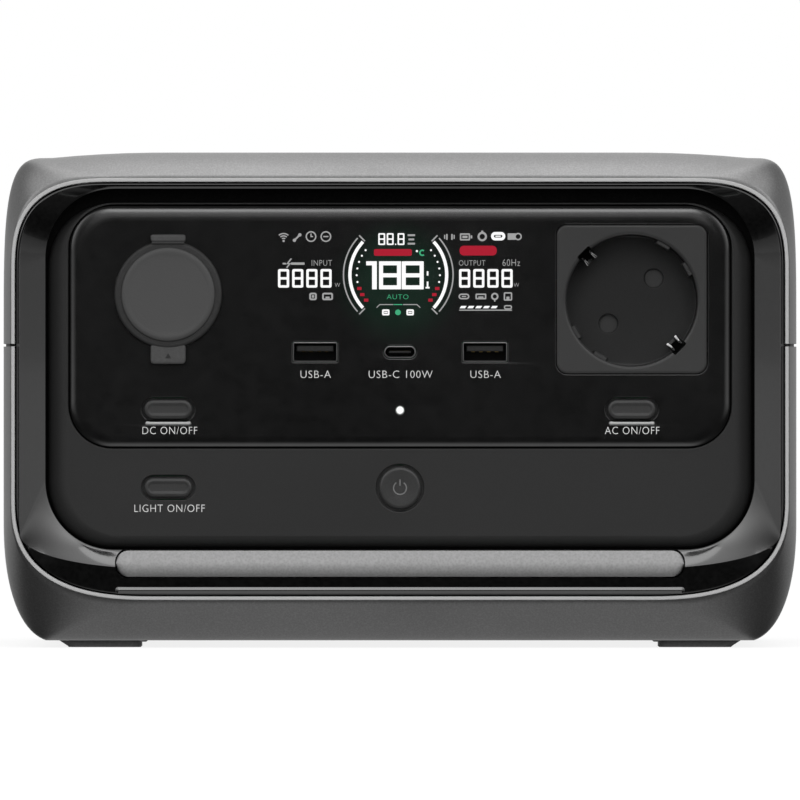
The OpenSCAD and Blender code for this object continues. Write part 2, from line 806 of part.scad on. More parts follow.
module ac_inlet() {
    color("black") translate([ac_inlet_x, 0, inlet_z]) difference() {
        union() {
            along_y(rear_plate_y + 3, rear_plate_y + 5) round_rect(31, 24, 2);
            along_y(rear_plate_y - 18, rear_plate_y + 3.5) round_rect(27.2, 20, 2);
        }
        along_y(rear_plate_y - 12, rear_plate_y + 6) difference() {
            square([24.2, 16.6], center = true);
            for (x = [-1, 1]) translate([x * 12.1, 8.3]) rotate(45) square([6, 6], center = true);
        }
        along_y(rear_plate_y - 19, rear_plate_y - 11) inlet_pins(0.1);
    }
}

module inlet_pins(grow) {
    for (p = [[-7, -2], [7, -2], [0, 2]]) translate(p) square([2 + grow, 4 + grow], center = true);
}

module ac_inlet_pins() {
    color("silver") translate([ac_inlet_x, 0, inlet_z])
        along_y(rear_plate_y - 22, rear_plate_y + 2) inlet_pins(0);
}

module dc_inlet() {
    color("gold") translate([dc_inlet_x, 0, inlet_z]) {
        difference() {
            along_y(rear_plate_y - 12, rear_plate_y + 4) square([16, 8.2], center = true);
            along_y(rear_plate_y - 6, rear_plate_y + 5) square([13.6, 5.8], center = true);
        }
        for (x = [-3.6, 3.6]) along_y(rear_plate_y - 7, rear_plate_y + 2) translate([x, 0]) circle(r = 1.75);
    }
}

// Section of the handle's bar
module handle_section(grow) {
    round_rect(handle_t + 2 * grow, handle_z1 - handle_z0 + 2 * grow, 8 + grow);
}

// Rubber sleeve let into the middle of the bar
module grip_sleeve() {
    translate([0, handle_bar_y, handle_mid_z]) along_x(-grip_hw, grip_hw) difference() {
        handle_section(0);
        handle_section(-1.4);
    }
}

// A bar with two round bends whose arms end in flanges on the rear panel
module rear_handle() {
    straight = handle_x - handle_bend;
    color("dimgray") difference() {
        union() {
            translate([0, handle_bar_y, handle_mid_z]) along_x(-straight, straight) handle_section(0);
            for (side = [-1, 1]) {
                translate([side * handle_x, 0, handle_mid_z])
                    along_y(handle_root_y, handle_bar_y - handle_bend) handle_section(0);
                translate([side * straight, handle_bar_y - handle_bend, handle_mid_z])
                    rotate(side > 0 ? 0 : 90) rotate_extrude(angle = 90)
                        translate([handle_bend, 0]) handle_section(0);
                translate([side * handle_x, 0, handle_mid_z])
                    along_y(handle_root_y, handle_root_y + 3) round_rect(42, 28, 9);
            }
        }
        grip_sleeve();
        for (x = [-handle_x, handle_x], s = [-1, 1]) translate([x + s * handle_screw_x, 0, handle_mid_z])
            along_y(handle_root_y - 1, handle_root_y + 4) circle(r = 1.8);
    }
}

module handle_grip() {
    color("black") grip_sleeve();
}

module foot_pair(y) {
    color("dimgray") for (side = [-1, 1]) translate([0, y, 0]) rotate([90, 0, 0])
        linear_extrude(34, center = true) polygon([[side * 76.8, 0], [side * 98.5, 0],
            [side * 101.2, foot_h], [side * 76.8, foot_h]]);
}

module front_feet() {
    foot_pair(-78);
}

module rear_feet() {
    foot_pair(33);
}

module case_screws() {
    color("silver") for (x = [-boss_x, boss_x], y = boss_ys) translate([x, y, foot_h + 66.6]) {
        difference() {
            cylinder(r = 2.8, h = 2.4);
            translate([0, 0, -1]) cylinder(r = 1.4, h = 2.4, $fn = 6);
        }
        translate([0, 0, 2]) cylinder(r = 1.5, h = 28);
    }
}

// A hexagon socket screw along Y whose head sits on the face at y
module panel_screw(x, y, z) {
    color("silver") translate([x, 0, z]) {
        difference() {
            along_y(y, y + 1.8) circle(r = 2.9);
            along_y(y + 0.8, y + 3) circle(r = 1.4, $fn = 6);
        }
        along_y(y - 12, y + 0.4) circle(r = 1.5);
    }
}

module rear_panel_screws() {
    for (x = [-rear_screw_x, rear_screw_x], z = rear_screw_zs) panel_screw(x, rear_plate_y + 3, z);
}

module handle_screws() {
    for (x = [-handle_x, handle_x], s = [-1, 1])
        panel_screw(x + s * handle_screw_x, handle_root_y + 3, handle_mid_z);
}

upper_shell();
lower_shell();
seam_strips();
bezel_ring();
fascia();
display_window();
light_bar();
light_bar_board();
front_carrier();
display_board();
lcd_module();
tact_switches();
light_pipes();
power_button();
ac_button();
dc_button();
light_button();
usb_a_left_shell();
usb_a_right_shell();
usb_c_shell();
usb_tongues();
car_socket_housing();
car_socket_barrel();
car_socket_contact();
car_socket_cap();
cap_anchor();
ac_socket_cup();
ac_socket_shutter();
ac_socket_back();
ac_socket_contacts();
ac_earth_clips();
cell_holder_lower();
cell_holder_upper();
battery_cells();
busbars();
battery_board();
mid_frame();
main_board();
transformer();
filter_chokes();
bulk_capacitors();
heatsink_left();
heatsink_right();
fan_left_frame();
fan_left_rotor();
fan_right_frame();
fan_right_rotor();
vent_grille_left();
vent_grille_right();
rear_panel();
ac_inlet();
ac_inlet_pins();
dc_inlet();
rear_handle();
handle_grip();
front_feet();
rear_feet();
case_screws();
rear_panel_screws();
handle_screws();
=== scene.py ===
"""Portable power station: its visible pieces and finishes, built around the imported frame.

Sizes are in millimetres and become metres when a mesh is made. The front faces -Y and Z is up.
"""

import logging
import math
from collections.abc import Callable, Sequence
from dataclasses import astuple, dataclass, field, replace
from enum import Enum

import bmesh
import bpy
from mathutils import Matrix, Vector
from mathutils.geometry import tessellate_polygon


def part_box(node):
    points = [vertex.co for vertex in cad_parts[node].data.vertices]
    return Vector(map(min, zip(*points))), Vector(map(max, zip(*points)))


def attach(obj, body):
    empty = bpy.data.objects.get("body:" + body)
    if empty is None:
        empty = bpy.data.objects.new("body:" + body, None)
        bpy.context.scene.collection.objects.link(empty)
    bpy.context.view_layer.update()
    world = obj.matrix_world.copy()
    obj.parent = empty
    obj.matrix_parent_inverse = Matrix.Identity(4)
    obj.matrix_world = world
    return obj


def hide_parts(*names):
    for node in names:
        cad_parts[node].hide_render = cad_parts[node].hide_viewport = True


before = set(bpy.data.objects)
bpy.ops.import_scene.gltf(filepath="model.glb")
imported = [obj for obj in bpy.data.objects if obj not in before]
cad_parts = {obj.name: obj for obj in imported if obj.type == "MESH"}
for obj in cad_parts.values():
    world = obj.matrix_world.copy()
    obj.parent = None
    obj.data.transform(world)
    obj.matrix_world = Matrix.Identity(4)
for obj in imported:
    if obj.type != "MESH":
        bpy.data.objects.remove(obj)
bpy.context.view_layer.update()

log = logging.getLogger("power_station")

MM = 0.001
MERGE = 1e-7
SAME_POINT = 1e-5
FLAT_WEIGHT = 95
SOFT_EDGE = math.radians(32)
QUARTER = math.pi / 2

Loop = list[tuple[float, float]]
Profile = list[tuple[float, float]]
Point = tuple[float, float, float]
Colour = tuple[float, float, float, float]
Mesh = bpy.types.Mesh
Curve = bpy.types.Curve
Object = bpy.types.Object
Material = bpy.types.Material
Node = bpy.types.Node
NodeTree = bpy.types.NodeTree
Socket = bpy.types.NodeSocket


class Plane(Enum):
    """Which way a drawn loop faces: the axes of its two directions and of its depth."""

    FRONT = (0, 2, 1)
    SIDE = (1, 2, 0)
    TOP = (0, 1, 2)

    def lift(self, u: float, v: float, depth: float) -> Vector:
        """Gives the point at u, v on the loop and at that depth.

        Args:
            u: along the first direction.
            v: along the second.
            depth: along the axis it faces.

        Returns:
            The point.
        """
        point = Vector((0, 0, 0))
        for axis, value in zip(self.value, (u, v, depth)):
            point[axis] = value
        return point


@dataclass(frozen=True)
class Rounded:
    """A rectangle with round corners, about its own centre; a circle is one with no straight part."""

    u: float
    v: float
    w: float
    h: float
    r: float

    def loop(self, grow: float = 0.0, steps: int = 10) -> Loop:
        """Returns the outline.

        Args:
            grow: how far the outline moves outwards.
            steps: divisions of each corner.

        Returns:
            The points, anticlockwise from the right.
        """
        r = max(self.r + grow, 0.02)
        du, dv = self.w / 2 + grow - r, self.h / 2 + grow - r
        points: Loop = []
        for quarter, (su, sv) in enumerate(((1, 1), (-1, 1), (-1, -1), (1, -1))):
            for k in range(steps + 1):
                a = QUARTER * (quarter + k / steps)
                point = (self.u + su * du + r * math.cos(a), self.v + sv * dv + r * math.sin(a))
                if not points or math.dist(point, points[-1]) > SAME_POINT:
                    points.append(point)
        if math.dist(points[0], points[-1]) < SAME_POINT:
            points.pop()
        return points


def disc(u: float, v: float, r: float) -> Rounded:
    """Returns a circle as a rounded rectangle."""
    return Rounded(u, v, 2 * r, 2 * r, r)


def stadium(u: float, v: float, w: float, h: float) -> Rounded:
    """Returns a bar with half-round ends."""
    return Rounded(u, v, w, h, h / 2)


@dataclass(frozen=True)
class Outline:
    """A section of the case: superellipse corners, a crowned top and a lowest level."""

    hw: float
    bottom: float
    top: float
    low_x: float
    low_z: float
    low_power: float
    high_x: float
    high_z: float
    high_power: float
    crown: float = 0.0
    floor: float = 0.0

    CORNER_STEPS = 26
    CROWN_STEPS = 14
    CROWN_FLAT = 70.0

    def inset(self, d: float) -> "Outline":
        """Gives the outline moved inwards by d.

        Args:
            d: how far every side moves in.

        Returns:
            The new outline.
        """
        return Outline(
            self.hw - d, self.bottom + d, self.top - d,
            max(self.low_x - d, 1), max(self.low_z - d, 1), self.low_power,
            max(self.high_x - d, 1), max(self.high_z - d, 1), self.high_power,
            self.crown, self.floor + d,
        )

    def blend(self, other: "Outline", t: float) -> "Outline":
        """Returns the outline a share t of the way to another."""
        return Outline(*(a + (b - a) * t for a, b in zip(astuple(self), astuple(other))))

    def upper(self) -> Loop:
        """Gives the right half from the side up to the middle of the top.

        Returns:
            The points of the open half.
        """
        cx, cz = self.hw - self.high_x, self.top - self.high_z
        points: Loop = []
        for k in range(self.CORNER_STEPS + 1):
            a = QUARTER * k / self.CORNER_STEPS
            points.append((
                cx + self.high_x * math.cos(a) ** (2 / self.high_power) if k < self.CORNER_STEPS else cx,
                cz + self.high_z * math.sin(a) ** (2 / self.high_power),
            ))
        for k in range(1, self.CROWN_STEPS + 1):
            x = cx * (1 - k / self.CROWN_STEPS)
            rise = max(0.0, x - self.CROWN_FLAT) / max(1.0, cx - self.CROWN_FLAT)
            points.append((x, self.top + self.crown * (1 - rise * rise)))
        return points

    def lower(self) -> Loop:
        """Gives the right half from the side down to the middle of the bottom.

        Returns:
            The points of the open half.
        """
        cx, cz = self.hw - self.low_x, self.bottom + self.low_z
        points: Loop = []
        for k in range(self.CORNER_STEPS + 1):
            a = QUARTER * k / self.CORNER_STEPS
            points.append((
                cx + self.low_x * math.cos(a) ** (2 / self.low_power) if k < self.CORNER_STEPS else cx,
                max(self.floor, cz - self.low_z * math.sin(a) ** (2 / self.low_power)),
            ))
        points += [(cx * (1 - k / self.CROWN_STEPS), max(self.floor, self.bottom))
                   for k in range(1, self.CROWN_STEPS + 1)]
        return points

    def loop(self) -> Loop:
        """Returns the whole outline, anticlockwise from the right."""
        up, low = self.upper(), self.lower()
        return up + [(-x, z) for x, z in up[-2::-1]] + [(-x, z) for x, z in low] + low[-2::-1]

    def arc(self, seam: float, above: bool) -> Loop:
        """Returns the part above or below a level, as an open line from one side to the other."""
        half = [(self.hw, seam)] + (self.upper() if above else self.lower())
        return half + [(-x, z) for x, z in half[-2::-1]]


def quarter_round(width: float, drop: float, front: float, back: float, steps: int = 5) -> Profile:
    """Returns the profile of a rounded front edge and the straight wall behind it.

    Args:
        width: how far the round reaches across the face; negative for a hole's rim.
        drop: how deep the round goes.
        front: depth of the face.
        back: depth where the wall ends.
        steps: divisions of the round.

    Returns:
        Pairs of growth and depth, from the face to the back.
    """
    way = 1 if back > front else -1
    turns = [QUARTER * k / steps for k in range(steps + 1)]
    return [(-width * (1 - math.sin(a)), front + way * drop * (1 - math.cos(a))) for a in turns] + [(0.0, back)]


class Shape:
    """A closed mesh under construction, in millimetres."""

    def __init__(self) -> None:
        """Starts with nothing in it."""
        self.points: list[Vector] = []
        self.faces: list[tuple[int, ...]] = []

    def ring(self, loop: Loop, depth: float, plane: Plane = Plane.FRONT) -> list[int]:
        """Adds a loop's points at one depth.

        Args:
            loop: the drawn points.
            depth: where they lie.
            plane: which way they face.

        Returns:
            The points' numbers.
        """
        first = len(self.points)
        self.points += [plane.lift(u, v, depth) for u, v in loop]
        return list(range(first, len(self.points)))

    def skin(self, a: list[int], b: list[int], closed: bool = True) -> None:
        """Joins two rings of as many points with quads."""
        n = len(a)
        self.faces += [(a[i], a[(i + 1) % n], b[(i + 1) % n], b[i]) for i in range(n if closed else n - 1)]

    def cap(self, outer: list[int], holes: Sequence[list[int]] = ()) -> None:
        """Fills a ring, around any holes in it.

        Args:
            outer: the ring's numbers.
            holes: the numbers of each hole's ring.
        """
        rings = [outer, *holes]
        flat = [i for ring in rings for i in ring]
        for corners in tessellate_polygon([[self.points[i] for i in ring] for ring in rings]):
            self.faces.append(tuple(flat[k] for k in corners))

    def walls(self, outline: Callable[[float], Loop], profile: Profile, plane: Plane) -> list[list[int]]:
        """Skins an outline grown along a profile.

        Args:
            outline: the outline for a growth.
            profile: growth and depth of each ring.
            plane: which way it faces.

        Returns:
            The rings.
        """
        rings = [self.ring(outline(grow), depth, plane) for grow, depth in profile]
        for a, b in zip(rings, rings[1:]):
            self.skin(a, b)
        return rings

    def panel(self, outline: Callable[[float], Loop], edge: Profile,
              holes: Sequence[tuple[Callable[[float], Loop], Profile]] = (),
              plane: Plane = Plane.FRONT) -> "Shape":
        """Adds a plate or block with shaped edges and holes right through it.

        Args:
            outline: the outline for a growth.
            edge: profile of the outer edge, from the face to the back.
            holes: the outline and the profile of each hole.
            plane: which way the face looks.

        Returns:
            The shape itself.
        """
        outer = self.walls(outline, edge, plane)
        inner = [self.walls(hole, profile, plane) for hole, profile in holes]
        self.cap(outer[0], [rings[0] for rings in inner])
        self.cap(outer[-1], [rings[-1] for rings in inner])
        return self

    def lathe(self, u: float, v: float, profile: Profile, plane: Plane = Plane.FRONT, steps: int = 16,
              looped: bool = False) -> "Shape":
        """Turns a profile of radius and depth about an axis; poles close when doubles merge.

        Args:
            u: the axis, across.
            v: the axis, up.
            profile: radius and depth of each ring.
            plane: which way it faces.
            steps: divisions of each quarter.
            looped: whether the last ring joins the first.

        Returns:
            The shape itself.
        """
        rings = [self.ring(disc(u, v, max(r, 1e-6)).loop(0, steps) if r > 0.03 else
                           [(u, v)] * (4 * steps), depth, plane) for r, depth in profile]
        for a, b in zip(rings, rings[1:] + (rings[:1] if looped else [])):
            self.skin(a, b)
        return self

    def tube(self, u: float, v: float, outer: float, inner: float, front: float, back: float,
             plane: Plane = Plane.FRONT, edge: float = 0.25) -> "Shape":
        """Adds a tube whose rims are a little rounded.

        Args:
            u: the axis, across.
            v: the axis, up.
            outer: outer radius.
            inner: inner radius.
            front: depth of the first rim.
            back: depth of the last rim.
            plane: which way it faces.
            edge: how much the rims are rounded.

        Returns:
            The shape itself.
        """
        way = edge if back > front else -edge
        profile = [(outer, front + way), (outer, back - way), (outer - edge, back), (inner + edge, back),
                   (inner, back - way), (inner, front + way), (inner + edge, front), (outer - edge, front)]
        return self.lathe(u, v, profile, plane, looped=True)

    def mesh(self, name: str) -> Mesh:
        """Finishes the mesh.

        Args:
            name: the mesh's name.

        Returns:
            The mesh in metres, merged and facing outwards.
        """
        data = bpy.data.meshes.new(name)
        data.from_pydata([p * MM for p in self.points], [], self.faces)
        tidy_mesh(data)
        return data


def tidy_mesh(data: Mesh, angle: float = SOFT_EDGE) -> None:
    """Merges doubles, turns the faces outwards and smooths across shallow edges.

    Args:
        data: the mesh that is changed.
        angle: edges steeper than this stay sharp.
    """
    work = bmesh.new()
    work.from_mesh(data)
    bmesh.ops.remove_doubles(work, verts=work.verts, dist=MERGE)
    bmesh.ops.dissolve_degenerate(work, edges=work.edges, dist=MERGE)
    bmesh.ops.recalc_face_normals(work, faces=work.faces)
    work.to_mesh(data)
    work.free()
    data.shade_smooth()
    data.set_sharp_from_angle(angle=angle)


def baked(obj: Object) -> Mesh:
    """Takes an object's evaluated mesh and removes the object with its modifiers.

    Args:
        obj: the object, which is removed.

    Returns:
        The plain mesh.
    """
    bpy.context.view_layer.update()
    depsgraph = bpy.context.evaluated_depsgraph_get()
    data = bpy.data.meshes.new_from_object(obj.evaluated_get(depsgraph), preserve_all_data_layers=True,
                                           depsgraph=depsgraph)
    bpy.data.objects.remove(obj)
    return data


def loose(name: str, data: Mesh | Curve) -> Object:
    """Gives a new object in the scene that holds the data.

    Args:
        name: the object's name.
        data: what it holds.

    Returns:
        The object.
    """
    obj = bpy.data.objects.new(name, data)
    bpy.context.scene.collection.objects.link(obj)
    return obj


def carve(data: Mesh, tools: Sequence[Mesh], action: str = "DIFFERENCE") -> Mesh:
    """Cuts tools out of a mesh, or joins them to it.

    Args:
        data: the mesh that is cut.
        tools: closed meshes to cut away or add.
        action: the Boolean operation.

    Returns:
        The new mesh.
    """
    for tool in tools:
        cutter = loose("cutter", tool)
        body = loose("body", data)
        step = body.modifiers.new("carve", "BOOLEAN")
        step.operation, step.solver, step.object = action, "EXACT", cutter
        data = baked(body)
        bpy.data.objects.remove(cutter)
    tidy_mesh(data)
    return data


@dataclass(frozen=True)
class Place:
    """Where a piece belongs: its body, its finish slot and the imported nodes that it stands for."""

    slot: str
    body: str = "case"
    nodes: tuple[str, ...] = ()


def fit(name: str, data: Mesh, finish: Material, place: Place) -> Object:
    """Puts a finished mesh in the scene as a piece.

    Args:
        name: the piece's name.
        data: its mesh, in place.
        finish: its material.
        place: its body, slot and nodes.

    Returns:
        The piece.
    """
    data.materials.clear()
    data.materials.append(finish)
    piece = loose(name, data)
    weigh = piece.modifiers.new("weigh", "WEIGHTED_NORMAL")
    weigh.keep_sharp, weigh.weight = True, FLAT_WEIGHT
    data = baked(piece)
    data.name = name
    piece = loose(name, data)
    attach(piece, place.body)
    if place.nodes:
        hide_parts(*place.nodes)
    log.info("%s: %d faces on %s", name, len(data.polygons), place.body)
    return piece


class Graph:
    """A node tree with a short way to add and link its nodes."""

    def __init__(self, tree: NodeTree) -> None:
        """Works on an empty tree."""
        self.tree = tree

    def add(self, kind: str, inputs: dict | None = None, **settings: object) -> Node:
        """Adds a node.

        Args:
            kind: the node's type.
            inputs: a socket to link or a value to set, for each input's name or number.
            **settings: the node's own properties.

        Returns:
            The node.
        """
        node = self.tree.nodes.new(kind)
        for key, value in settings.items():
            setattr(node, key, value)
        for key, value in (inputs or {}).items():
            if isinstance(value, Socket):
                self.tree.links.new(value, node.inputs[key])
            else:
                node.inputs[key].default_value = value
        return node

    def math(self, operation: str, *values: object) -> Socket:
        """Adds a Math node and returns its result."""
        return self.add("ShaderNodeMath", dict(enumerate(values)), operation=operation).outputs[0]

    def remap(self, value: object, low: float, high: float, to_low: float, to_high: float,
              smooth: bool = False) -> Socket:
        """Adds a clamped Map Range node.

        Args:
            value: what is mapped.
            low: lowest value in.
            high: highest value in.
            to_low: value out at the low end.
            to_high: value out at the high end.
            smooth: whether the ends ease in and out.

        Returns:
            The mapped value.
        """
        node = self.add("ShaderNodeMapRange", {0: value, 1: low, 2: high, 3: to_low, 4: to_high},
                        interpolation_type="SMOOTHSTEP" if smooth else "LINEAR")
        return node.outputs[0]

    def mix(self, share: object, a: object, b: object) -> Socket:
        """Mixes two colours and returns the result."""
        return self.add("ShaderNodeMix", {0: share, 6: a, 7: b}, data_type="RGBA").outputs[2]


class Effect:
    """A shader node group with named inputs and outputs that several finishes share."""

    def __init__(self, name: str, inputs: dict[str, float], outputs: Sequence[str]) -> None:
        """Makes the group and its sockets.

        Args:
            name: the group's name.
            inputs: each input's default.
            outputs: the outputs' names.
        """
        self.group = bpy.data.node_groups.new(name, "ShaderNodeTree")
        for label, value in inputs.items():
            socket = self.group.interface.new_socket(label, in_out="INPUT", socket_type="NodeSocketFloat")
            socket.default_value = value
        for label in outputs:
            self.group.interface.new_socket(label, in_out="OUTPUT", socket_type="NodeSocketFloat")
        self.graph = Graph(self.group)
        self.source = self.graph.add("NodeGroupInput")
        self.sink = self.graph.add("NodeGroupOutput")
        self.where = self.graph.add("ShaderNodeTexCoord").outputs["Object"]

    def noise(self, scale: object, detail: float, rough: float = 0.5,
              where: object | None = None) -> Socket:
        """Adds a noise and returns its value."""
        return self.graph.add("ShaderNodeTexNoise", {"Vector": where or self.where, "Scale": scale,
                                                     "Detail": detail, "Roughness": rough}).outputs["Fac"]

    def give(self, **results: Socket) -> None:
        """Links the group's outputs."""
        for label, socket in results.items():
            self.group.links.new(socket, self.sink.inputs[label])


class Effects:
    """The effects that the finishes share, each built once."""

    def __init__(self) -> None:
        """Builds every group."""
        self.grain = self.make_grain()
        self.handling = self.make_handling()
        self.brushing = self.make_brushing()
        self.dust = self.make_dust()

    def make_grain(self) -> NodeTree:
        """Makes the pebbled texture of a moulding: its height and a faint shade in its hollows.

        Returns:
            The group.
        """
        effect = Effect("Moulded grain", {"Scale": 2400.0, "Coarse": 0.35}, ("Height", "Shade"))
        g, scale = effect.graph, effect.source.outputs["Scale"]
        cells = g.add("ShaderNodeTexVoronoi", {"Vector": effect.where, "Scale": scale},
                      feature="SMOOTH_F1").outputs["Distance"]
        fine = effect.noise(g.math("MULTIPLY", scale, 2.3), 2.0)
        broad = effect.noise(g.math("MULTIPLY", scale, 0.03), 3.0)
        height = g.math("ADD", g.math("MULTIPLY", cells, 0.7),
                        g.math("ADD", g.math("MULTIPLY", fine, 0.5),
                               g.math("MULTIPLY", broad, effect.source.outputs["Coarse"])))
        effect.give(Height=height, Shade=g.remap(cells, 0.1, 0.7, 0.0, 1.0))
        return effect.group

    def make_handling(self) -> NodeTree:
        """Makes the marks of handling: a slow change of gloss and fine hairlines.

        Returns:
            The group.
        """
        effect = Effect("Handling marks", {"Scale": 14.0, "Hairlines": 0.3}, ("Mask",))
        g = effect.graph
        blotch = g.remap(effect.noise(effect.source.outputs["Scale"], 5.0, 0.6), 0.35, 0.68, 0.0, 1.0, True)
        stretched = g.add("ShaderNodeMapping", {"Vector": effect.where, "Rotation": (0.3, 0.5, 0.9),
                                                "Scale": (6.0, 90.0, 340.0)}).outputs[0]
        lines = g.remap(effect.noise(4.0, 2.0, 0.5, stretched), 0.66, 0.74, 0.0, 1.0)
        mask = g.math("ADD", blotch, g.math("MULTIPLY", lines, effect.source.outputs["Hairlines"]))
        effect.give(Mask=mask)
        return effect.group

    def make_brushing(self) -> NodeTree:
        """Makes fine parallel lines drawn along X and Y.

        Returns:
            The group.
        """
        effect = Effect("Brushed lines", {"Scale": 60.0}, ("Height", "Streak"))
        g = effect.graph
        along = g.add("ShaderNodeMapping", {"Vector": effect.where, "Scale": (1.0, 1.0, 60.0)}).outputs[0]
        streak = effect.noise(effect.source.outputs["Scale"], 4.0, 0.7, along)
        effect.give(Height=streak, Streak=g.remap(streak, 0.3, 0.7, 0.0, 1.0))
        return effect.group

    def make_dust(self) -> NodeTree:
        """Makes the share of dust, which settles in patches on what faces up.

        Returns:
            The group.
        """
        effect = Effect("Settled dust", {"Scale": 90.0, "Amount": 0.2}, ("Mask",))
        g = effect.graph
        normal = g.add("ShaderNodeNewGeometry").outputs["Normal"]
        upward = g.add("ShaderNodeSeparateXYZ", {0: normal}).outputs["Z"]
        settled = g.remap(upward, 0.3, 1.0, 0.0, 1.0, True)
        patches = g.remap(effect.noise(effect.source.outputs["Scale"], 6.0, 0.7), 0.42, 0.75, 0.0, 1.0)
        effect.give(Mask=g.math("MULTIPLY", g.math("MULTIPLY", settled, patches),
                                effect.source.outputs["Amount"]))
        return effect.group


def grey(level: float, warm: float = 0.0) -> Colour:
    """Returns a linear grey, a little warmer or cooler."""
    return (level * (1 + warm), level, level * (1 - warm), 1.0)


@dataclass(frozen=True)
class Finish:
    """A moulded, rubber, painted or metal surface and the wear on it."""

    name: str
    colour: Colour
    roughness: float = 0.5
    metallic: float = 0.0
    specular: float = 0.5
    grain: float = 2400.0
    depth: float = 0.00002
    handling: float = 0.08
    dust: float = 0.0
    coat: float = 0.0
    coat_roughness: float = 0.06
    brushed: bool = False
    glow: Colour = (0.0, 0.0, 0.0, 1.0)
    glow_strength: float = 0.0

    def make(self, effects: Effects) -> Material:
        """Builds the material.

        Args:
            effects: the shared node groups.

        Returns:
            The material.
        """
        material = bpy.data.materials.new(self.name)
        material.use_nodes = True
        material.diffuse_color = self.colour
        material.node_tree.nodes.clear()
        g = Graph(material.node_tree)
        marks = self.grouped(g, effects.handling, {"Scale": 14.0, "Hairlines": 0.3})
        if self.brushed:
            relief = self.grouped(g, effects.brushing, {"Scale": 60.0})
            shade = relief.outputs["Streak"]
        else:
            relief = self.grouped(g, effects.grain, {"Scale": self.grain})
            shade = relief.outputs["Shade"]
        dark = tuple(c * 0.86 for c in self.colour[:3]) + (1.0,)
        light = tuple(min(1.0, c * 1.1 + 0.0015) for c in self.colour[:3]) + (1.0,)
        colour = g.mix(shade, dark, light)
        if self.dust:
            settled = self.grouped(g, effects.dust, {"Amount": self.dust})
            colour = g.mix(settled.outputs["Mask"], colour, grey(0.3, 0.04))
        rough = g.remap(marks.outputs["Mask"], 0.0, 1.2, self.roughness - self.handling,
                        self.roughness + self.handling)
        bump = g.add("ShaderNodeBump", {"Height": relief.outputs["Height"], "Strength": 0.6,
                                        "Distance": self.depth})
        shader = g.add("ShaderNodeBsdfPrincipled", {
            "Base Color": colour, "Roughness": rough, "Normal": bump.outputs[0], "Metallic": self.metallic,
            "Specular IOR Level": self.specular, "Coat Weight": self.coat, "Coat Roughness": self.coat_roughness,
            "Emission Color": self.glow, "Emission Strength": self.glow_strength,
        })
        self.extend(g, shader)
        g.add("ShaderNodeOutputMaterial", {"Surface": shader.outputs[0]})
        return material

    @staticmethod
    def grouped(g: Graph, group: NodeTree, values: dict[str, float]) -> Node:
        """Adds the group's node first, because its inputs exist only once its tree is set.

        Args:
            g: the material's graph.
            group: the effect.
            values: what its inputs are set to.

        Returns:
            The node.
        """
        node = g.tree.nodes.new("ShaderNodeGroup")
        node.node_tree = group
        for label, value in values.items():
            node.inputs[label].default_value = value
        return node

    def extend(self, g: Graph, shader: Node) -> None:
        """Leaves the shader as it is; a finish with more to show overrides this."""


@dataclass(frozen=True)
class FrontHighlightPaint(Finish):
    """Satin metallic paint, lighter along the front lip: a painted highlight standing in for the light falling on the
    front; other finishes use it for a lighter front with painted shade behind.
    """

    lip_y: float = 0.0
    lip_depth: float = 0.0002
    # colour and metal share of the painted highlight over the lip
    lip_colour: Colour = (0.3, 0.3, 0.3, 1.0)
    lip_metallic: float = 0.1

    def extend(self, g: Graph, shader: Node) -> None:
        """Paints the highlight: brightens the colour and drops the metal over the lip.

        Args:
            g: the material's graph.
            shader: its shader.
        """
        place = g.add("ShaderNodeSeparateXYZ", {0: g.add("ShaderNodeTexCoord").outputs["Object"]})
        # share is 1 over the lip and fades out behind it: where the painted highlight goes
        share = g.remap(place.outputs["Y"], self.lip_y + self.lip_depth, self.lip_y + 2 * self.lip_depth, 1.0, 0.0)
        paint = shader.inputs["Base Color"].links[0].from_socket
        g.tree.links.new(g.mix(share, paint, self.lip_colour), shader.inputs["Base Color"])
        g.tree.links.new(g.remap(share, 0.0, 1.0, self.metallic, self.lip_metallic), shader.inputs["Metallic"])


@dataclass(frozen=True)
class GlowingGlass(Finish):
    """Black glass with the faint coloured light of the display's middle behind it."""

    centre: tuple[float, float, float] = (0.0, 0.0, 0.0)
    reach: float = 0.02

    def extend(self, g: Graph, shader: Node) -> None:
        """Adds the glow, which fades out from the middle of the gauge.

        Args:
            g: the material's graph.
            shader: its shader.
        """
        where = g.add("ShaderNodeTexCoord").outputs["Object"]
        away = g.add("ShaderNodeVectorMath", {0: where, 1: self.centre}, operation="DISTANCE").outputs["Value"]
        share = g.remap(away, self.reach * 0.35, self.reach, 1.0, 0.0, True)
        g.tree.links.new(g.mix(share, (0, 0, 0, 1), (0.0, 0.011, 0.005, 1)), shader.inputs["Emission Color"])
        shader.inputs["Emission Strength"].default_value = 1.0


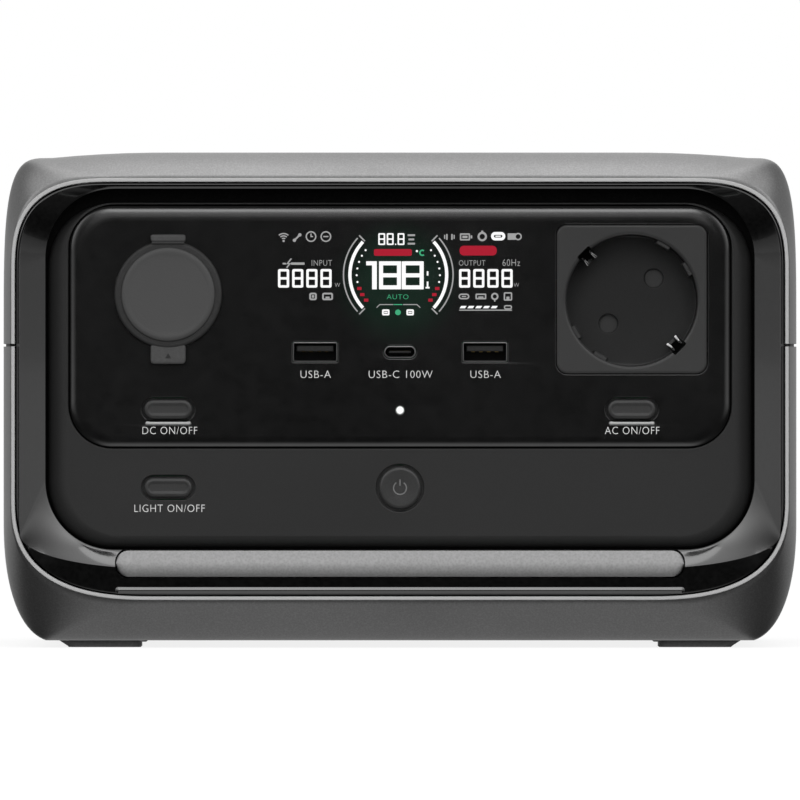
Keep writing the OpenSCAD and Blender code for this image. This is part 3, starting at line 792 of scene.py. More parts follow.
class Tree:
    """A Geometry Nodes tree under construction, with named inputs and a finish."""

    def __init__(self, name: str) -> None:
        """Starts the tree with its geometry sockets.

        Args:
            name: the tree's name.
        """
        self.group = bpy.data.node_groups.new(name, "GeometryNodeTree")
        self.group.is_modifier = True
        for way in ("INPUT", "OUTPUT"):
            self.group.interface.new_socket("Geometry", in_out=way, socket_type="NodeSocketGeometry")
        self.names: dict[str, str] = {}
        self.graph = Graph(self.group)
        self.entry("Finish", "NodeSocketMaterial")

    def entry(self, label: str, kind: str, value: object = None) -> None:
        """Adds a named input.

        Args:
            label: the input's name.
            kind: its socket type.
            value: its default.
        """
        socket = self.group.interface.new_socket(label, in_out="INPUT", socket_type=kind)
        if value is not None:
            socket.default_value = value
        self.names[label] = socket.identifier

    def open(self) -> Node:
        """Adds the node that gives the inputs, once they all exist."""
        self.source = self.graph.add("NodeGroupInput")
        return self.source

    def close(self, geometry: Socket) -> None:
        """Ends the tree in realized instances with the finish on them.

        Args:
            geometry: what the tree made.
        """
        g = self.graph
        real = g.add("GeometryNodeRealizeInstances", {0: geometry})
        dressed = g.add("GeometryNodeSetMaterial", {"Geometry": real.outputs[0],
                                                    "Material": self.source.outputs["Finish"]})
        g.add("NodeGroupOutput", {0: dressed.outputs[0]})

    def grow(self, data: Mesh | Curve, values: dict[str, object]) -> Mesh:
        """Runs the tree on some data.

        Args:
            data: what the tree works on.
            values: what its inputs are set to.

        Returns:
            The plain mesh.
        """
        seed = loose("seed", data)
        step = seed.modifiers.new("grow", "NODES")
        step.node_group = self.group
        for label, value in values.items():
            step[self.names[label]] = value
        return baked(seed)


class Patterns:
    """The Geometry Nodes trees that repeat small shapes or sweep a section."""

    def __init__(self) -> None:
        """Builds the trees."""
        self.lattice = self.make_lattice()
        self.wheel = self.make_wheel()
        self.bent_bar = self.make_bent_bar()

    def make_lattice(self) -> Tree:
        """Makes a tree that repeats its geometry in rows and columns.

        Returns:
            The tree.
        """
        tree = Tree("Lattice")
        for label in ("Columns", "Rows"):
            tree.entry(label, "NodeSocketInt", 1)
        for label in ("Start", "Across", "Down"):
            tree.entry(label, "NodeSocketVector")
        source, g = tree.open(), tree.graph
        lines = [g.add("GeometryNodeMeshLine", {"Count": source.outputs[count], "Offset": source.outputs[step]},
                       mode="OFFSET") for count, step in (("Columns", "Across"), ("Rows", "Down"))]
        g.tree.links.new(source.outputs["Start"], lines[0].inputs["Start Location"])
        grid = g.add("GeometryNodeInstanceOnPoints", {"Points": lines[0].outputs[0],
                                                      "Instance": lines[1].outputs[0]})
        places = g.add("GeometryNodeRealizeInstances", {0: grid.outputs[0]})
        copies = g.add("GeometryNodeInstanceOnPoints", {"Points": places.outputs[0],
                                                        "Instance": source.outputs["Geometry"]})
        tree.close(copies.outputs[0])
        return tree

    def make_wheel(self) -> Tree:
        """Makes a tree that repeats its geometry around an axis through the origin, at a centre.

        Returns:
            The tree.
        """
        tree = Tree("Wheel")
        tree.entry("Count", "NodeSocketInt", 1)
        for label in ("Centre", "Axis"):
            tree.entry(label, "NodeSocketVector")
        source, g = tree.open(), tree.graph
        line = g.add("GeometryNodeMeshLine", {"Count": source.outputs["Count"],
                                              "Start Location": source.outputs["Centre"],
                                              "Offset": (0, 0, 0)}, mode="OFFSET")
        turn = g.math("DIVIDE", g.math("MULTIPLY", g.add("GeometryNodeInputIndex").outputs[0], math.tau),
                      source.outputs["Count"])
        spin = g.add("ShaderNodeVectorMath", {0: source.outputs["Axis"], "Scale": turn}, operation="SCALE")
        copies = g.add("GeometryNodeInstanceOnPoints", {"Points": line.outputs[0], "Rotation": spin.outputs[0],
                                                        "Instance": source.outputs["Geometry"]})
        tree.close(copies.outputs[0])
        return tree

    def make_bent_bar(self) -> Tree:
        """Makes a tree that rounds a path's corners and sweeps a rounded section along it.

        Returns:
            The tree.
        """
        tree = Tree("Bent bar")
        for label in ("Bend", "Width", "Height", "Corner"):
            tree.entry(label, "NodeSocketFloat", 0.01)
        source, g = tree.open(), tree.graph
        line = g.add("GeometryNodeMeshToCurve", {0: source.outputs["Geometry"]})
        path = g.add("GeometryNodeFilletCurve", {"Curve": line.outputs[0], "Count": 18,
                                                 "Radius": source.outputs["Bend"]}, mode="POLY")
        upright = g.add("GeometryNodeSetCurveNormal", {"Curve": path.outputs[0]}, mode="Z_UP")
        section = g.add("GeometryNodeCurvePrimitiveQuadrilateral",
                        {"Width": source.outputs["Width"], "Height": source.outputs["Height"]})
        soft = g.add("GeometryNodeFilletCurve", {"Curve": section.outputs[0], "Count": 10,
                                                 "Radius": source.outputs["Corner"]}, mode="POLY")
        bar = g.add("GeometryNodeCurveToMesh", {"Curve": upright.outputs[0], "Profile Curve": soft.outputs[0],
                                                "Fill Caps": True})
        tree.close(bar.outputs[0])
        return tree


class Ink(Shape):
    """Flat printed or lit marks, each a closed sliver on a face that looks forward."""

    THIN = -0.012
    SPACING = 1.1

    def __init__(self, face: float, lift: float = 0.04) -> None:
        """Starts with the depth of the face and how far the marks stand off it."""
        super().__init__()
        self.span = [(0.0, face - lift), (0.0, face + lift / 2)]

    def blot(self, outer: Loop, holes: Sequence[Loop] = ()) -> None:
        """Adds a filled outline with holes."""
        self.panel(lambda _: outer, self.span, [(lambda _, h=hole: h, self.span) for hole in holes])

    def bar(self, u: float, v: float, w: float, h: float, r: float = 0.08) -> None:
        """Adds a bar."""
        self.blot(Rounded(u, v, w, h, min(r, w / 2 - 0.01, h / 2 - 0.01)).loop(0, 3))

    def hoop(self, shape: Rounded, width: float) -> None:
        """Adds a closed band inside an outline."""
        self.blot(shape.loop(0, 6), [shape.loop(-width, 6)])

    def dot(self, u: float, v: float, r: float) -> None:
        """Adds a round dot."""
        self.blot(disc(u, v, r).loop(0, 4))

    def line(self, points: Loop, width: float, closed: bool = False) -> None:
        """Adds a band along a path, mitred at its corners.

        Args:
            points: the path.
            width: the band's width.
            closed: whether the path returns to its start.
        """
        path = [Vector(p) for p in points]
        left, right = [], []
        for i, point in enumerate(path):
            before = path[i - 1] if i or closed else point
            after = path[(i + 1) % len(path)] if i < len(path) - 1 or closed else point
            sides = [(b - a).normalized().orthogonal() for a, b in ((before, point), (point, after)) if b != a]
            normal = sum(sides, Vector((0, 0))).normalized()
            reach = width / 2 / max(0.5, normal.dot(sides[0]))
            left.append(tuple(point + normal * reach))
            right.append(tuple(point - normal * reach))
        if closed:
            self.blot(left, [right])
        else:
            self.blot(left + right[::-1])

    def arc(self, u: float, v: float, r: float, width: float, start: float, stop: float, steps: int = 28) -> None:
        """Adds a part of a circle between two angles in degrees.

        Args:
            u: the centre, across.
            v: the centre, up.
            r: radius of its middle line.
            width: the band's width.
            start: first angle.
            stop: last angle.
            steps: divisions.
        """
        turns = [math.radians(start + (stop - start) * k / steps) for k in range(steps + 1)]
        outer, inner = r + width / 2, r - width / 2
        self.blot([(u + outer * math.cos(a), v + outer * math.sin(a)) for a in turns]
                  + [(u + inner * math.cos(a), v + inner * math.sin(a)) for a in reversed(turns)])

    def eight(self, u: float, v: float, w: float, h: float, t: float, r: float = 0.5) -> None:
        """Adds a figure with all its seven segments lit.

        Args:
            u: the middle, across.
            v: the middle, up.
            w: width.
            h: height.
            t: width of a segment.
            r: radius of the corners.
        """
        gap = (h - 3 * t) / 2
        holes = [Rounded(u, v + s * (t + gap) / 2, w - 2 * t, gap, r / 4).loop(0, 3) for s in (-1, 1)]
        self.blot(Rounded(u, v, w, h, r).loop(0, 4), holes)

    def words(self, text: str, u: float, v: float, width: float, height: float) -> None:
        """Adds lettering about a middle point.

        Args:
            text: what it says.
            u: the middle, across.
            v: the middle, up.
            width: the whole width.
            height: the height of the capitals.
        """
        curve = bpy.data.curves.new("words", "FONT")
        curve.body, curve.size, curve.extrude, curve.resolution_u = text, 1.0, 0.5, 3
        curve.offset, curve.space_character = self.THIN, self.SPACING
        data = baked(loose("words", curve))
        first = len(self.points)
        xs, ys = [p.co.x for p in data.vertices], [p.co.y for p in data.vertices]
        sx, sy = width / (max(xs) - min(xs)), height / (max(ys) - min(ys))
        middle = ((max(xs) + min(xs)) / 2, (max(ys) + min(ys)) / 2)
        near, far = self.span[0][1], self.span[1][1]
        for p in data.vertices:
            depth = near if p.co.z > 0 else far
            self.points.append(Vector((u + (p.co.x - middle[0]) * sx, depth, v + (p.co.y - middle[1]) * sy)))
        self.faces += [tuple(first + i for i in face.vertices) for face in data.polygons]
        bpy.data.meshes.remove(data)


def low(node: str) -> Vector:
    """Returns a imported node's lowest corner in millimetres."""
    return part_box(node)[0] / MM


def high(node: str) -> Vector:
    """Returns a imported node's highest corner in millimetres."""
    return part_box(node)[1] / MM


def middle(node: str) -> Vector:
    """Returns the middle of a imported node's box in millimetres."""
    return (low(node) + high(node)) / 2


def together(*meshes: Mesh) -> Mesh:
    """Gives one mesh made of several.

    Returns:
        The mesh, smooth across shallow edges.
    """
    work = bmesh.new()
    for data in meshes:
        work.from_mesh(data)
    data = bpy.data.meshes.new("together")
    work.to_mesh(data)
    work.free()
    data.shade_smooth()
    data.set_sharp_from_angle(angle=SOFT_EDGE)
    return data


class Palette:
    """Every finish on the station."""

    def __init__(self) -> None:
        """Builds the shared effects and the materials."""
        effects = Effects()
        recipes = {
            # case: painted highlight along the front lip, lighter and less metallic than the paint
            "case": FrontHighlightPaint("Graphite paint", grey(0.2), 0.36, 0.92, grain=2300, depth=0.00002, handling=0.04,
                                dust=0.05, lip_y=low("upper_shell").y * MM),
            "ring": Finish("Ring gloss", grey(0.002), 0.17, specular=1.0, grain=900, depth=0.000002, handling=0.03,
                           coat=1.0),
            "fascia": Finish("Fascia satin", grey(0.0115), 0.5, grain=3000, depth=0.00002),
            "window": GlowingGlass("Window gloss", grey(0.003), 0.2, specular=1.0, coat=1.0, coat_roughness=0.2,
                                   grain=300, depth=0.000001, handling=0.03,
                                   centre=(-0.0005, -0.1076, 0.108), reach=0.021),
            "lamp": Finish("Lamp diffuser", grey(0.2), 0.42, grain=1600, depth=0.00001),
            "button": Finish("Button satin", grey(0.02), 0.4, grain=2600, depth=0.00002),
            # printed marks: print with a faint painted glow that keeps it bright in any light
            "mark": Finish("Printed mark", grey(0.4), 0.5, grain=2600, depth=0.000004,
                           glow=grey(0.6), glow_strength=0.12),
            "faint": Finish("Faint mark", grey(0.1), 0.5, grain=2600, depth=0.000004),
            "lit": self.lit("Lit white", grey(1.0)),
            "dim": self.lit("Lit dim white", grey(0.36)),
            "green": self.lit("Lit green", (0.06, 0.5, 0.24, 1.0), 0.8),
            "red": self.lit("Lit red", (0.4, 0.006, 0.024, 1.0)),
            "strip": Finish("Strip clear", grey(0.3), 0.35, grain=2600, depth=0.000004),
            # port steel: painted highlight on the port mouths; everything deeper, the 12 V barrel too, is dark steel
            # as painted shade
            "steel": FrontHighlightPaint("Port steel", grey(0.03), 0.34, 0.9, depth=0.000006, brushed=True, lip_metallic=0.9,
                                 lip_y=low("usb_c_shell").y * MM, lip_depth=0.00015, lip_colour=grey(0.32)),
            "insulator": Finish("Insulator black", grey(0.012), 0.45, grain=2000, depth=0.00001),
            "brass": Finish("Contact brass", (0.62, 0.44, 0.17, 1.0), 0.28, 1.0, depth=0.000004, brushed=True),
            # cover rubber: painted light on its front face, which takes the cap's tone, and painted shade on the
            # darker rim behind it
            "cover": FrontHighlightPaint("Cover rubber", grey(0.0145), 0.55, grain=1700, depth=0.00004, handling=0.1,
                                 lip_y=low("car_socket_cap").y * MM, lip_depth=0.0003, lip_colour=grey(0.037),
                                 lip_metallic=0.0),
            "cap": Finish("Cap rubber", grey(0.037), 0.55, grain=1700, depth=0.00004, handling=0.1),
            # socket: painted shade in the recess, coloured darker than the plate's front
            "socket": FrontHighlightPaint("Socket satin", grey(0.0095), 0.42, depth=0.00002, lip_metallic=0.0,
                                  lip_y=low("ac_socket_cup").y * MM, lip_depth=0.0012, lip_colour=grey(0.021)),
            "nickel": Finish("Nickel plate", grey(0.6), 0.25, 1.0, depth=0.000004, brushed=True),
            "board": Finish("Solder mask", (0.012, 0.1, 0.04, 1.0), 0.35, grain=700, depth=0.00001),
            "black": Finish("Inner black", grey(0.02), 0.5, grain=2000, depth=0.00002),
            # painted shadow: near black with little sheen, on the front carrier in the gap above the fascia and on
            # the blocks between the earth prongs
            "void": Finish("Carrier black", grey(0.001), 0.8, specular=0.1, grain=2000),
            "inner": Finish("Inner grey", grey(0.16), 0.5, grain=2000, depth=0.00002),
            "cell": Finish("Cell sleeve", (0.02, 0.04, 0.055, 1.0), 0.3, grain=400, depth=0.000006, coat=0.3),
            "ferrite": Finish("Ferrite", grey(0.06, 0.03), 0.6, grain=1500, depth=0.00004),
            "copper": Finish("Winding copper", (0.42, 0.14, 0.05, 1.0), 0.35, 0.8, depth=0.00002, brushed=True),
            "sink": Finish("Sink aluminium", grey(0.55), 0.35, 1.0, depth=0.00001, brushed=True),
            "grille": Finish("Grille black", grey(0.026), 0.48, grain=2400, depth=0.00003, handling=0.1),
            "grip": Finish("Grip rubber", grey(0.02), 0.62, grain=1500, depth=0.00005, dust=0.15),
            "foot": Finish("Foot rubber", grey(0.07), 0.65, grain=1500, depth=0.00005),
            "screw": Finish("Screw steel", grey(0.14), 0.32, 1.0, depth=0.000008, brushed=True),
        }
        self.materials = {key: recipe.make(effects) for key, recipe in recipes.items()}

    def __getitem__(self, key: str) -> Material:
        """Returns a finish by its short name."""
        return self.materials[key]

    @staticmethod
    def lit(name: str, glow: Colour, strength: float = 1.0) -> Finish:
        """Returns the finish of marks that glow with one colour."""
        return Finish(name, grey(0.003), 0.4, specular=0.15, grain=2600, depth=0.000002, glow=glow,
                      glow_strength=strength)


@dataclass
class Kit:
    """What every sub-assembly works with."""

    finish: Palette = field(default_factory=Palette)
    pattern: Patterns = field(default_factory=Patterns)

    def row(self, unit: Shape, finish: str, columns: int, rows: int, start: Sequence[float],
            across: Sequence[float] = (0, 0, 0), down: Sequence[float] = (0, 0, 0)) -> Mesh:
        """Repeats a small shape in rows and columns.

        Args:
            unit: the shape, drawn about the origin.
            finish: the short name of its finish.
            columns: how many along the first step.
            rows: how many along the second step.
            start: where the first one goes, in millimetres.
            across: the first step.
            down: the second step.

        Returns:
            The mesh of them all.
        """
        values = {"Columns": columns, "Rows": rows, "Start": [c * MM for c in start],
                  "Across": [c * MM for c in across], "Down": [c * MM for c in down],
                  "Finish": self.finish[finish]}
        return self.pattern.lattice.grow(unit.mesh("unit"), values)


LIP = Outline(114.8, 14.1, 138.7, 42, 30, 2.6, 30, 28, 2.8, 0, 14.1)
WAIST = Outline(117.25, 1.6, 144.8, 16.2, 36, 2.3, 14.4, 53.8, 4, 1.6, 2.1)
REAR = Outline(109.5, 9.5, 137, 30, 30, 2.5, 26, 26, 2.5, 0, 9.5)


@dataclass
class Case:
    """The two halves of the case, the strip between them, the feet and the screws underneath."""

    kit: Kit
    seam: float = 89.4
    gap: float = 0.4
    lip_wall: float = 1.2
    wall: float = 2.6
    front_round: float = 13.0
    rear_round: float = 14.0
    front_steps: int = 20
    side_steps: int = 12
    rear_steps: int = 14
    vent: Rounded = Rounded(10, 52, 100, 56, 8)
    boss_x: float = 100.0
    boss_ys: tuple[float, float] = (-52.0, 57.0)
    bore: float = 3.4
    foot_h: float = 2.1
    foot_ys: tuple[float, float] = (-78.0, 33.0)

    def stations(self) -> list[tuple[float, Outline, float]]:
        """Gives depth, outline and wall along the case, from the lip to the back.

        Returns:
            Depth, outline and wall of each station.
        """
        lip_y, rear_y = low("upper_shell").y, high("upper_shell").y
        found = []
        for k in range(2, self.front_steps + 1):
            u = (k / self.front_steps) ** 1.3
            found.append((lip_y + self.front_round * u, LIP.blend(WAIST, 1 - (1 - u) ** 1.6),
                          self.lip_wall + (self.wall - self.lip_wall) * min(1.0, 3 * u)))
        back = rear_y - self.rear_round
        front = found[-1][0]
        found += [(front + (back - front) * k / self.side_steps, WAIST, self.wall)
                  for k in range(1, self.side_steps + 1)]
        for k in range(1, self.rear_steps + 1):
            v = math.sin(QUARTER * k / self.rear_steps)
            found.append((back + self.rear_round * v, WAIST.blend(REAR, 1 - math.sqrt(1 - v * v)), self.wall))
        return found

    def half(self, above: bool) -> Mesh:
        """Makes one half of the case, a curved wall with a rolled lip.

        Args:
            above: whether it is the upper half.

        Returns:
            The mesh.
        """
        shape, stations = Shape(), self.stations()
        seam = self.seam + (self.gap if above else -self.gap)
        lip_y = low("upper_shell").y
        roll = [(0.0, 0.45), (0.06, 0.18), (0.2, 0.03), (0.6, 0.0), (1.0, 0.03), (1.14, 0.18), (1.2, 0.45)]
        path = ([(outline, y) for y, outline, _ in reversed(stations)]
                + [(LIP.inset(inset), lip_y + depth) for inset, depth in roll]
                + [(outline.inset(wall), y) for y, outline, wall in stations])
        rings = [shape.ring(outline.arc(seam, above), y) for outline, y in path]
        for a, b in zip(rings, rings[1:] + rings[:1]):
            shape.skin(a, b, closed=False)
        for end in (0, -1):
            shape.cap([ring[end] for ring in rings])
        return shape.mesh("half")

    def lower(self) -> Mesh:
        """Gives the lower half with its vents, screw bores and the bosses around them.

        Returns:
            The mesh.
        """
        tools, bosses = [], Shape()
        for side in (-1, 1):
            tools.append(Shape().panel(self.vent.loop, [(0, side * 108), (0, side * 125)],
                                       plane=Plane.SIDE).mesh("vent"))
            for y in self.boss_ys:
                tools.append(Shape().panel(disc(side * self.boss_x, y, self.bore).loop, [(0, -1), (0, 9)],
                                           plane=Plane.TOP).mesh("bore"))
                bosses.tube(side * self.boss_x, y, self.bore + 1.8, self.bore, self.foot_h + 0.9, 72, Plane.TOP)
        return together(carve(self.half(False), tools), bosses.mesh("bosses"))

    def gasket(self) -> Mesh:
        """Makes the strips that fill the joint, set back from the surface.

        Returns:
            The mesh.
        """
        shape = Shape()
        stations = self.stations()[6:-2]
        for side in (-1, 1):
            line = ([(side * (outline.hw - 0.7), y) for y, outline, _ in stations]
                    + [(side * (outline.hw - 2.4), y) for y, outline, _ in reversed(stations)])
            shape.panel(lambda _, points=line: points, [(0, self.seam - self.gap), (0, self.seam + self.gap)],
                        plane=Plane.TOP)
        return shape.mesh("gasket")

    def foot(self, y: float) -> Mesh:
        """Makes a pair of feet with grooved soles.

        Args:
            y: where the pair's middle is.

        Returns:
            The mesh.
        """
        pair = []
        for side in (-1, 1):
            shape, groove = Shape(), Shape()
            shape.panel(lambda t, s=side: Rounded(s * (87.65 + 1.35 * t), y, 21.7 + 2.7 * t, 34, 3).loop(),
                        [(-0.12, 0.0), (0.0, 0.35), (1.0, self.foot_h)], plane=Plane.TOP)
            groove.panel(Rounded(0, 0, 17, 1.6, 0.7).loop, [(0, -0.5), (0, 0.5)], plane=Plane.TOP)
            cuts = self.kit.row(groove, "foot", 1, 7, (side * 87.4, y - 12, 0), down=(0, 4, 0))
            pair.append(carve(shape.mesh("foot"), [cuts]))
        return together(*pair)

    def build(self) -> None:
        """Makes the pieces."""
        f = self.kit.finish
        fit("case_upper", self.half(True), f["case"], Place("case_graphite", nodes=("upper_shell",)))
        fit("case_lower", self.lower(), f["case"], Place("case_graphite", nodes=("lower_shell",)))
        fit("case_gasket", self.gasket(), f["black"], Place("inner_black", nodes=("seam_strips",)))
        for name, node, y in zip(("feet_front", "feet_rear"), ("front_feet", "rear_feet"), self.foot_ys):
            fit(name, self.foot(y), f["foot"], Place("foot_rubber", nodes=(node,)))
        screws = self.kit.row(hex_screw(Plane.TOP, 28), "screw", 2, 2,
                              (-self.boss_x, self.boss_ys[0], low("case_screws").z),
                              (2 * self.boss_x, 0, 0), (0, self.boss_ys[1] - self.boss_ys[0], 0))
        fit("case_screw_set", screws, f["screw"], Place("screw_steel", nodes=("case_screws",)))


def hex_screw(plane: Plane, shank: float, way: float = 1.0, head: float = 2.8) -> Shape:
    """Returns a screw about the origin, whose head faces the low side of its axis.

    Args:
        plane: which way its head looks.
        shank: length of the shank behind the head.
        way: 1 where the head faces the low side, -1 where it faces the high side.
        head: radius of the head.

    Returns:
        The shape.
    """
    shape = Shape()
    thick, key, depth = 2.0, 1.4, 1.2
    socket = [(key * math.cos(math.tau * k / 6), key * math.sin(math.tau * k / 6)) for k in range(6)]
    outer = shape.walls(disc(0, 0, head).loop, [(g, way * d) for g, d in quarter_round(0.6, 0.6, 0, thick)], plane)
    rim, bottom = shape.ring(socket, 0, plane), shape.ring(socket, way * depth, plane)
    shape.skin(rim, bottom)
    shape.cap(outer[0], [rim])
    shape.cap(bottom)
    shape.cap(outer[-1])
    shape.lathe(0, 0, [(0, way * (thick - 0.3)), (1.4, way * (thick - 0.3)), (1.4, way * (thick + shank - 1)),
                       (0.4, way * (thick + shank)), (0, way * (thick + shank))], plane, steps=5)
    return shape


@dataclass
class FrontBezel:
    """The glossy ring, the lamp bar let into it and the satin fascia inside it."""

    kit: Kit
    ring_inner: Outline = Outline(104.6, 29.06, 135.5, 20.5, 20.5, 2.05, 20.5, 20.5, 2.05)
    fascia_flat: Outline = Outline(98.5, 33, 131.1, 17, 17, 2.1, 15, 15, 2.1)
    fascia_edge: Outline = Outline(104.2, 29.5, 131.5, 20, 20, 2.1, 20, 20, 2.1)
    crest_z: float = 23.5
    crest_corner: tuple[float, float] = (40.0, 10.0)
    bead: Rounded = Rounded(0, 17.05, 168, 2.1, 0.95)
    lip_gap: float = 1.6
    ring_steps: int = 14
    ring_rim: float = 0.5
    ring_drop: float = 4.6
    bulge: float = 1.05
    lamp: Rounded = Rounded(0, 25.03, 167.6, 8.06, 3.6)
    lamp_trim: float = 0.35
    lamp_depth: float = 9.6
    lamp_wall: float = 1.6
    lamp_steps: int = 12
    end_steps: int = 8
    lamp_lean: float = 0.28
    lamp_bow: float = 0.3
    lamp_rolls: tuple[float, float] = (0.35, 3.2)
    fascia_roll: float = 5.0

    def ring(self) -> Mesh:
        """Makes the ring: a rounded crest that falls away inwards, with the lamp's slot in it.

        Returns:
            The mesh.
        """
        shape, front, back = Shape(), low("bezel_ring").y, high("bezel_ring").y
        outer, steps, rim = LIP.inset(self.lip_gap), self.ring_steps, self.ring_rim
        edge = self.ring_inner.inset(-rim)
        crest = replace(outer.inset(1.1), top=outer.top - 0.36, bottom=self.crest_z, floor=self.crest_z,
                        low_x=self.crest_corner[0], low_z=self.crest_corner[1], low_power=2.0)
        step = outer.inset(0.35)
        path = [(outer, front + 1.3), (outer.inset(0.1), front + 1.05), (step, front + 0.95),
                (step.blend(crest, 0.06), front + 0.89), (step.blend(crest, 0.97), front + 0.03)]
        path += [(crest.blend(edge, k / steps), front + (self.ring_drop - rim) * (k / steps) ** self.bulge)
                 for k in range(steps + 1)]
        path += [(self.ring_inner.inset(-rim * 0.3), front + self.ring_drop - 0.3),
                 (self.ring_inner, front + self.ring_drop + 0.2), (self.ring_inner, back), (outer, back)]
        rings = [shape.ring(outline.loop(), y) for outline, y in path]
        for a, b in zip(rings, rings[1:] + rings[:1]):
            shape.skin(a, b)
        slot = Shape().panel(self.lamp.loop, [(0.3, front - 1), (0.3, front + self.lamp_depth)])
        bead = Shape().panel(self.bead.loop, [(-0.93, front), (0, front + 0.84), (0, front + 1.6)])
        return together(carve(shape.mesh("ring"), [slot.mesh("slot")]), bead.mesh("bead"))

    def lamp_bar(self) -> Mesh:
        """Makes the diffuser: a long lens with round ends whose face leans back.

        Returns:
            The mesh.
        """
        shape, lamp = Shape(), self.lamp
        front, back = low("light_bar").y, low("bezel_ring").y + self.lamp_depth - self.lamp_wall
        half, foot, head = lamp.w / 2, lamp.v - lamp.h / 2, lamp.v + lamp.h / 2 - self.lamp_trim
        ends = [half - lamp.r + lamp.r * math.sin(QUARTER * k / self.end_steps) for k in range(self.end_steps + 1)]
        rings = []
        for x in [-x for x in reversed(ends)] + ends:
            shrink = lamp.r - math.sqrt(max(0.0, lamp.r ** 2 - max(0.0, abs(x) - half + lamp.r) ** 2))
            a, b = foot + shrink, head - shrink
            face = []
            for k in range(self.lamp_steps + 1):
                t = k / self.lamp_steps
                z = a + (b - a) * t
                edge = self.lamp_rolls[0] * t ** 8 + self.lamp_rolls[1] * (1 - t) ** 4
                face.append((front + self.lamp_lean * (z - foot) + edge - self.lamp_bow * math.sin(math.pi * t), z))
            rings.append(shape.ring(face + [(back, b), (back, a)], x, Plane.SIDE))
        for a, b in zip(rings, rings[1:]):
            shape.skin(a, b)
        shape.cap(rings[0])
        shape.cap(rings[-1])
        return shape.mesh("lamp")

    def fascia(self, openings: Sequence[Rounded]) -> Mesh:
        """Makes the fascia, rolled back all round, with its openings.

        Args:
            openings: the outlines left open.

        Returns:
            The mesh.
        """
        front, turns = low("fascia").y, [QUARTER * k / 9 for k in range(10)]
        edge = [(math.sin(a), front + self.fascia_roll * (1 - math.cos(a))) for a in turns]
        rim = quarter_round(-0.4, 0.4, front, front + self.fascia_roll, 4)
        return Shape().panel(lambda t: self.fascia_flat.blend(self.fascia_edge, t).loop(), edge,
                             [(opening.loop, rim) for opening in openings]).mesh("fascia")

    def build(self, openings: Sequence[Rounded]) -> None:
        """Makes the pieces around the fascia's openings.

        Args:
            openings: the outlines that the fascia leaves open.
        """
        f = self.kit.finish
        fit("bezel", self.ring(), f["ring"], Place("ring_gloss", nodes=("bezel_ring",)))
        fit("lamp_bar", self.lamp_bar(), f["lamp"], Place("lamp_diffuser", nodes=("light_bar",)))
        fit("fascia_panel", self.fascia(openings), f["fascia"], Place("fascia_black", nodes=("fascia",)))


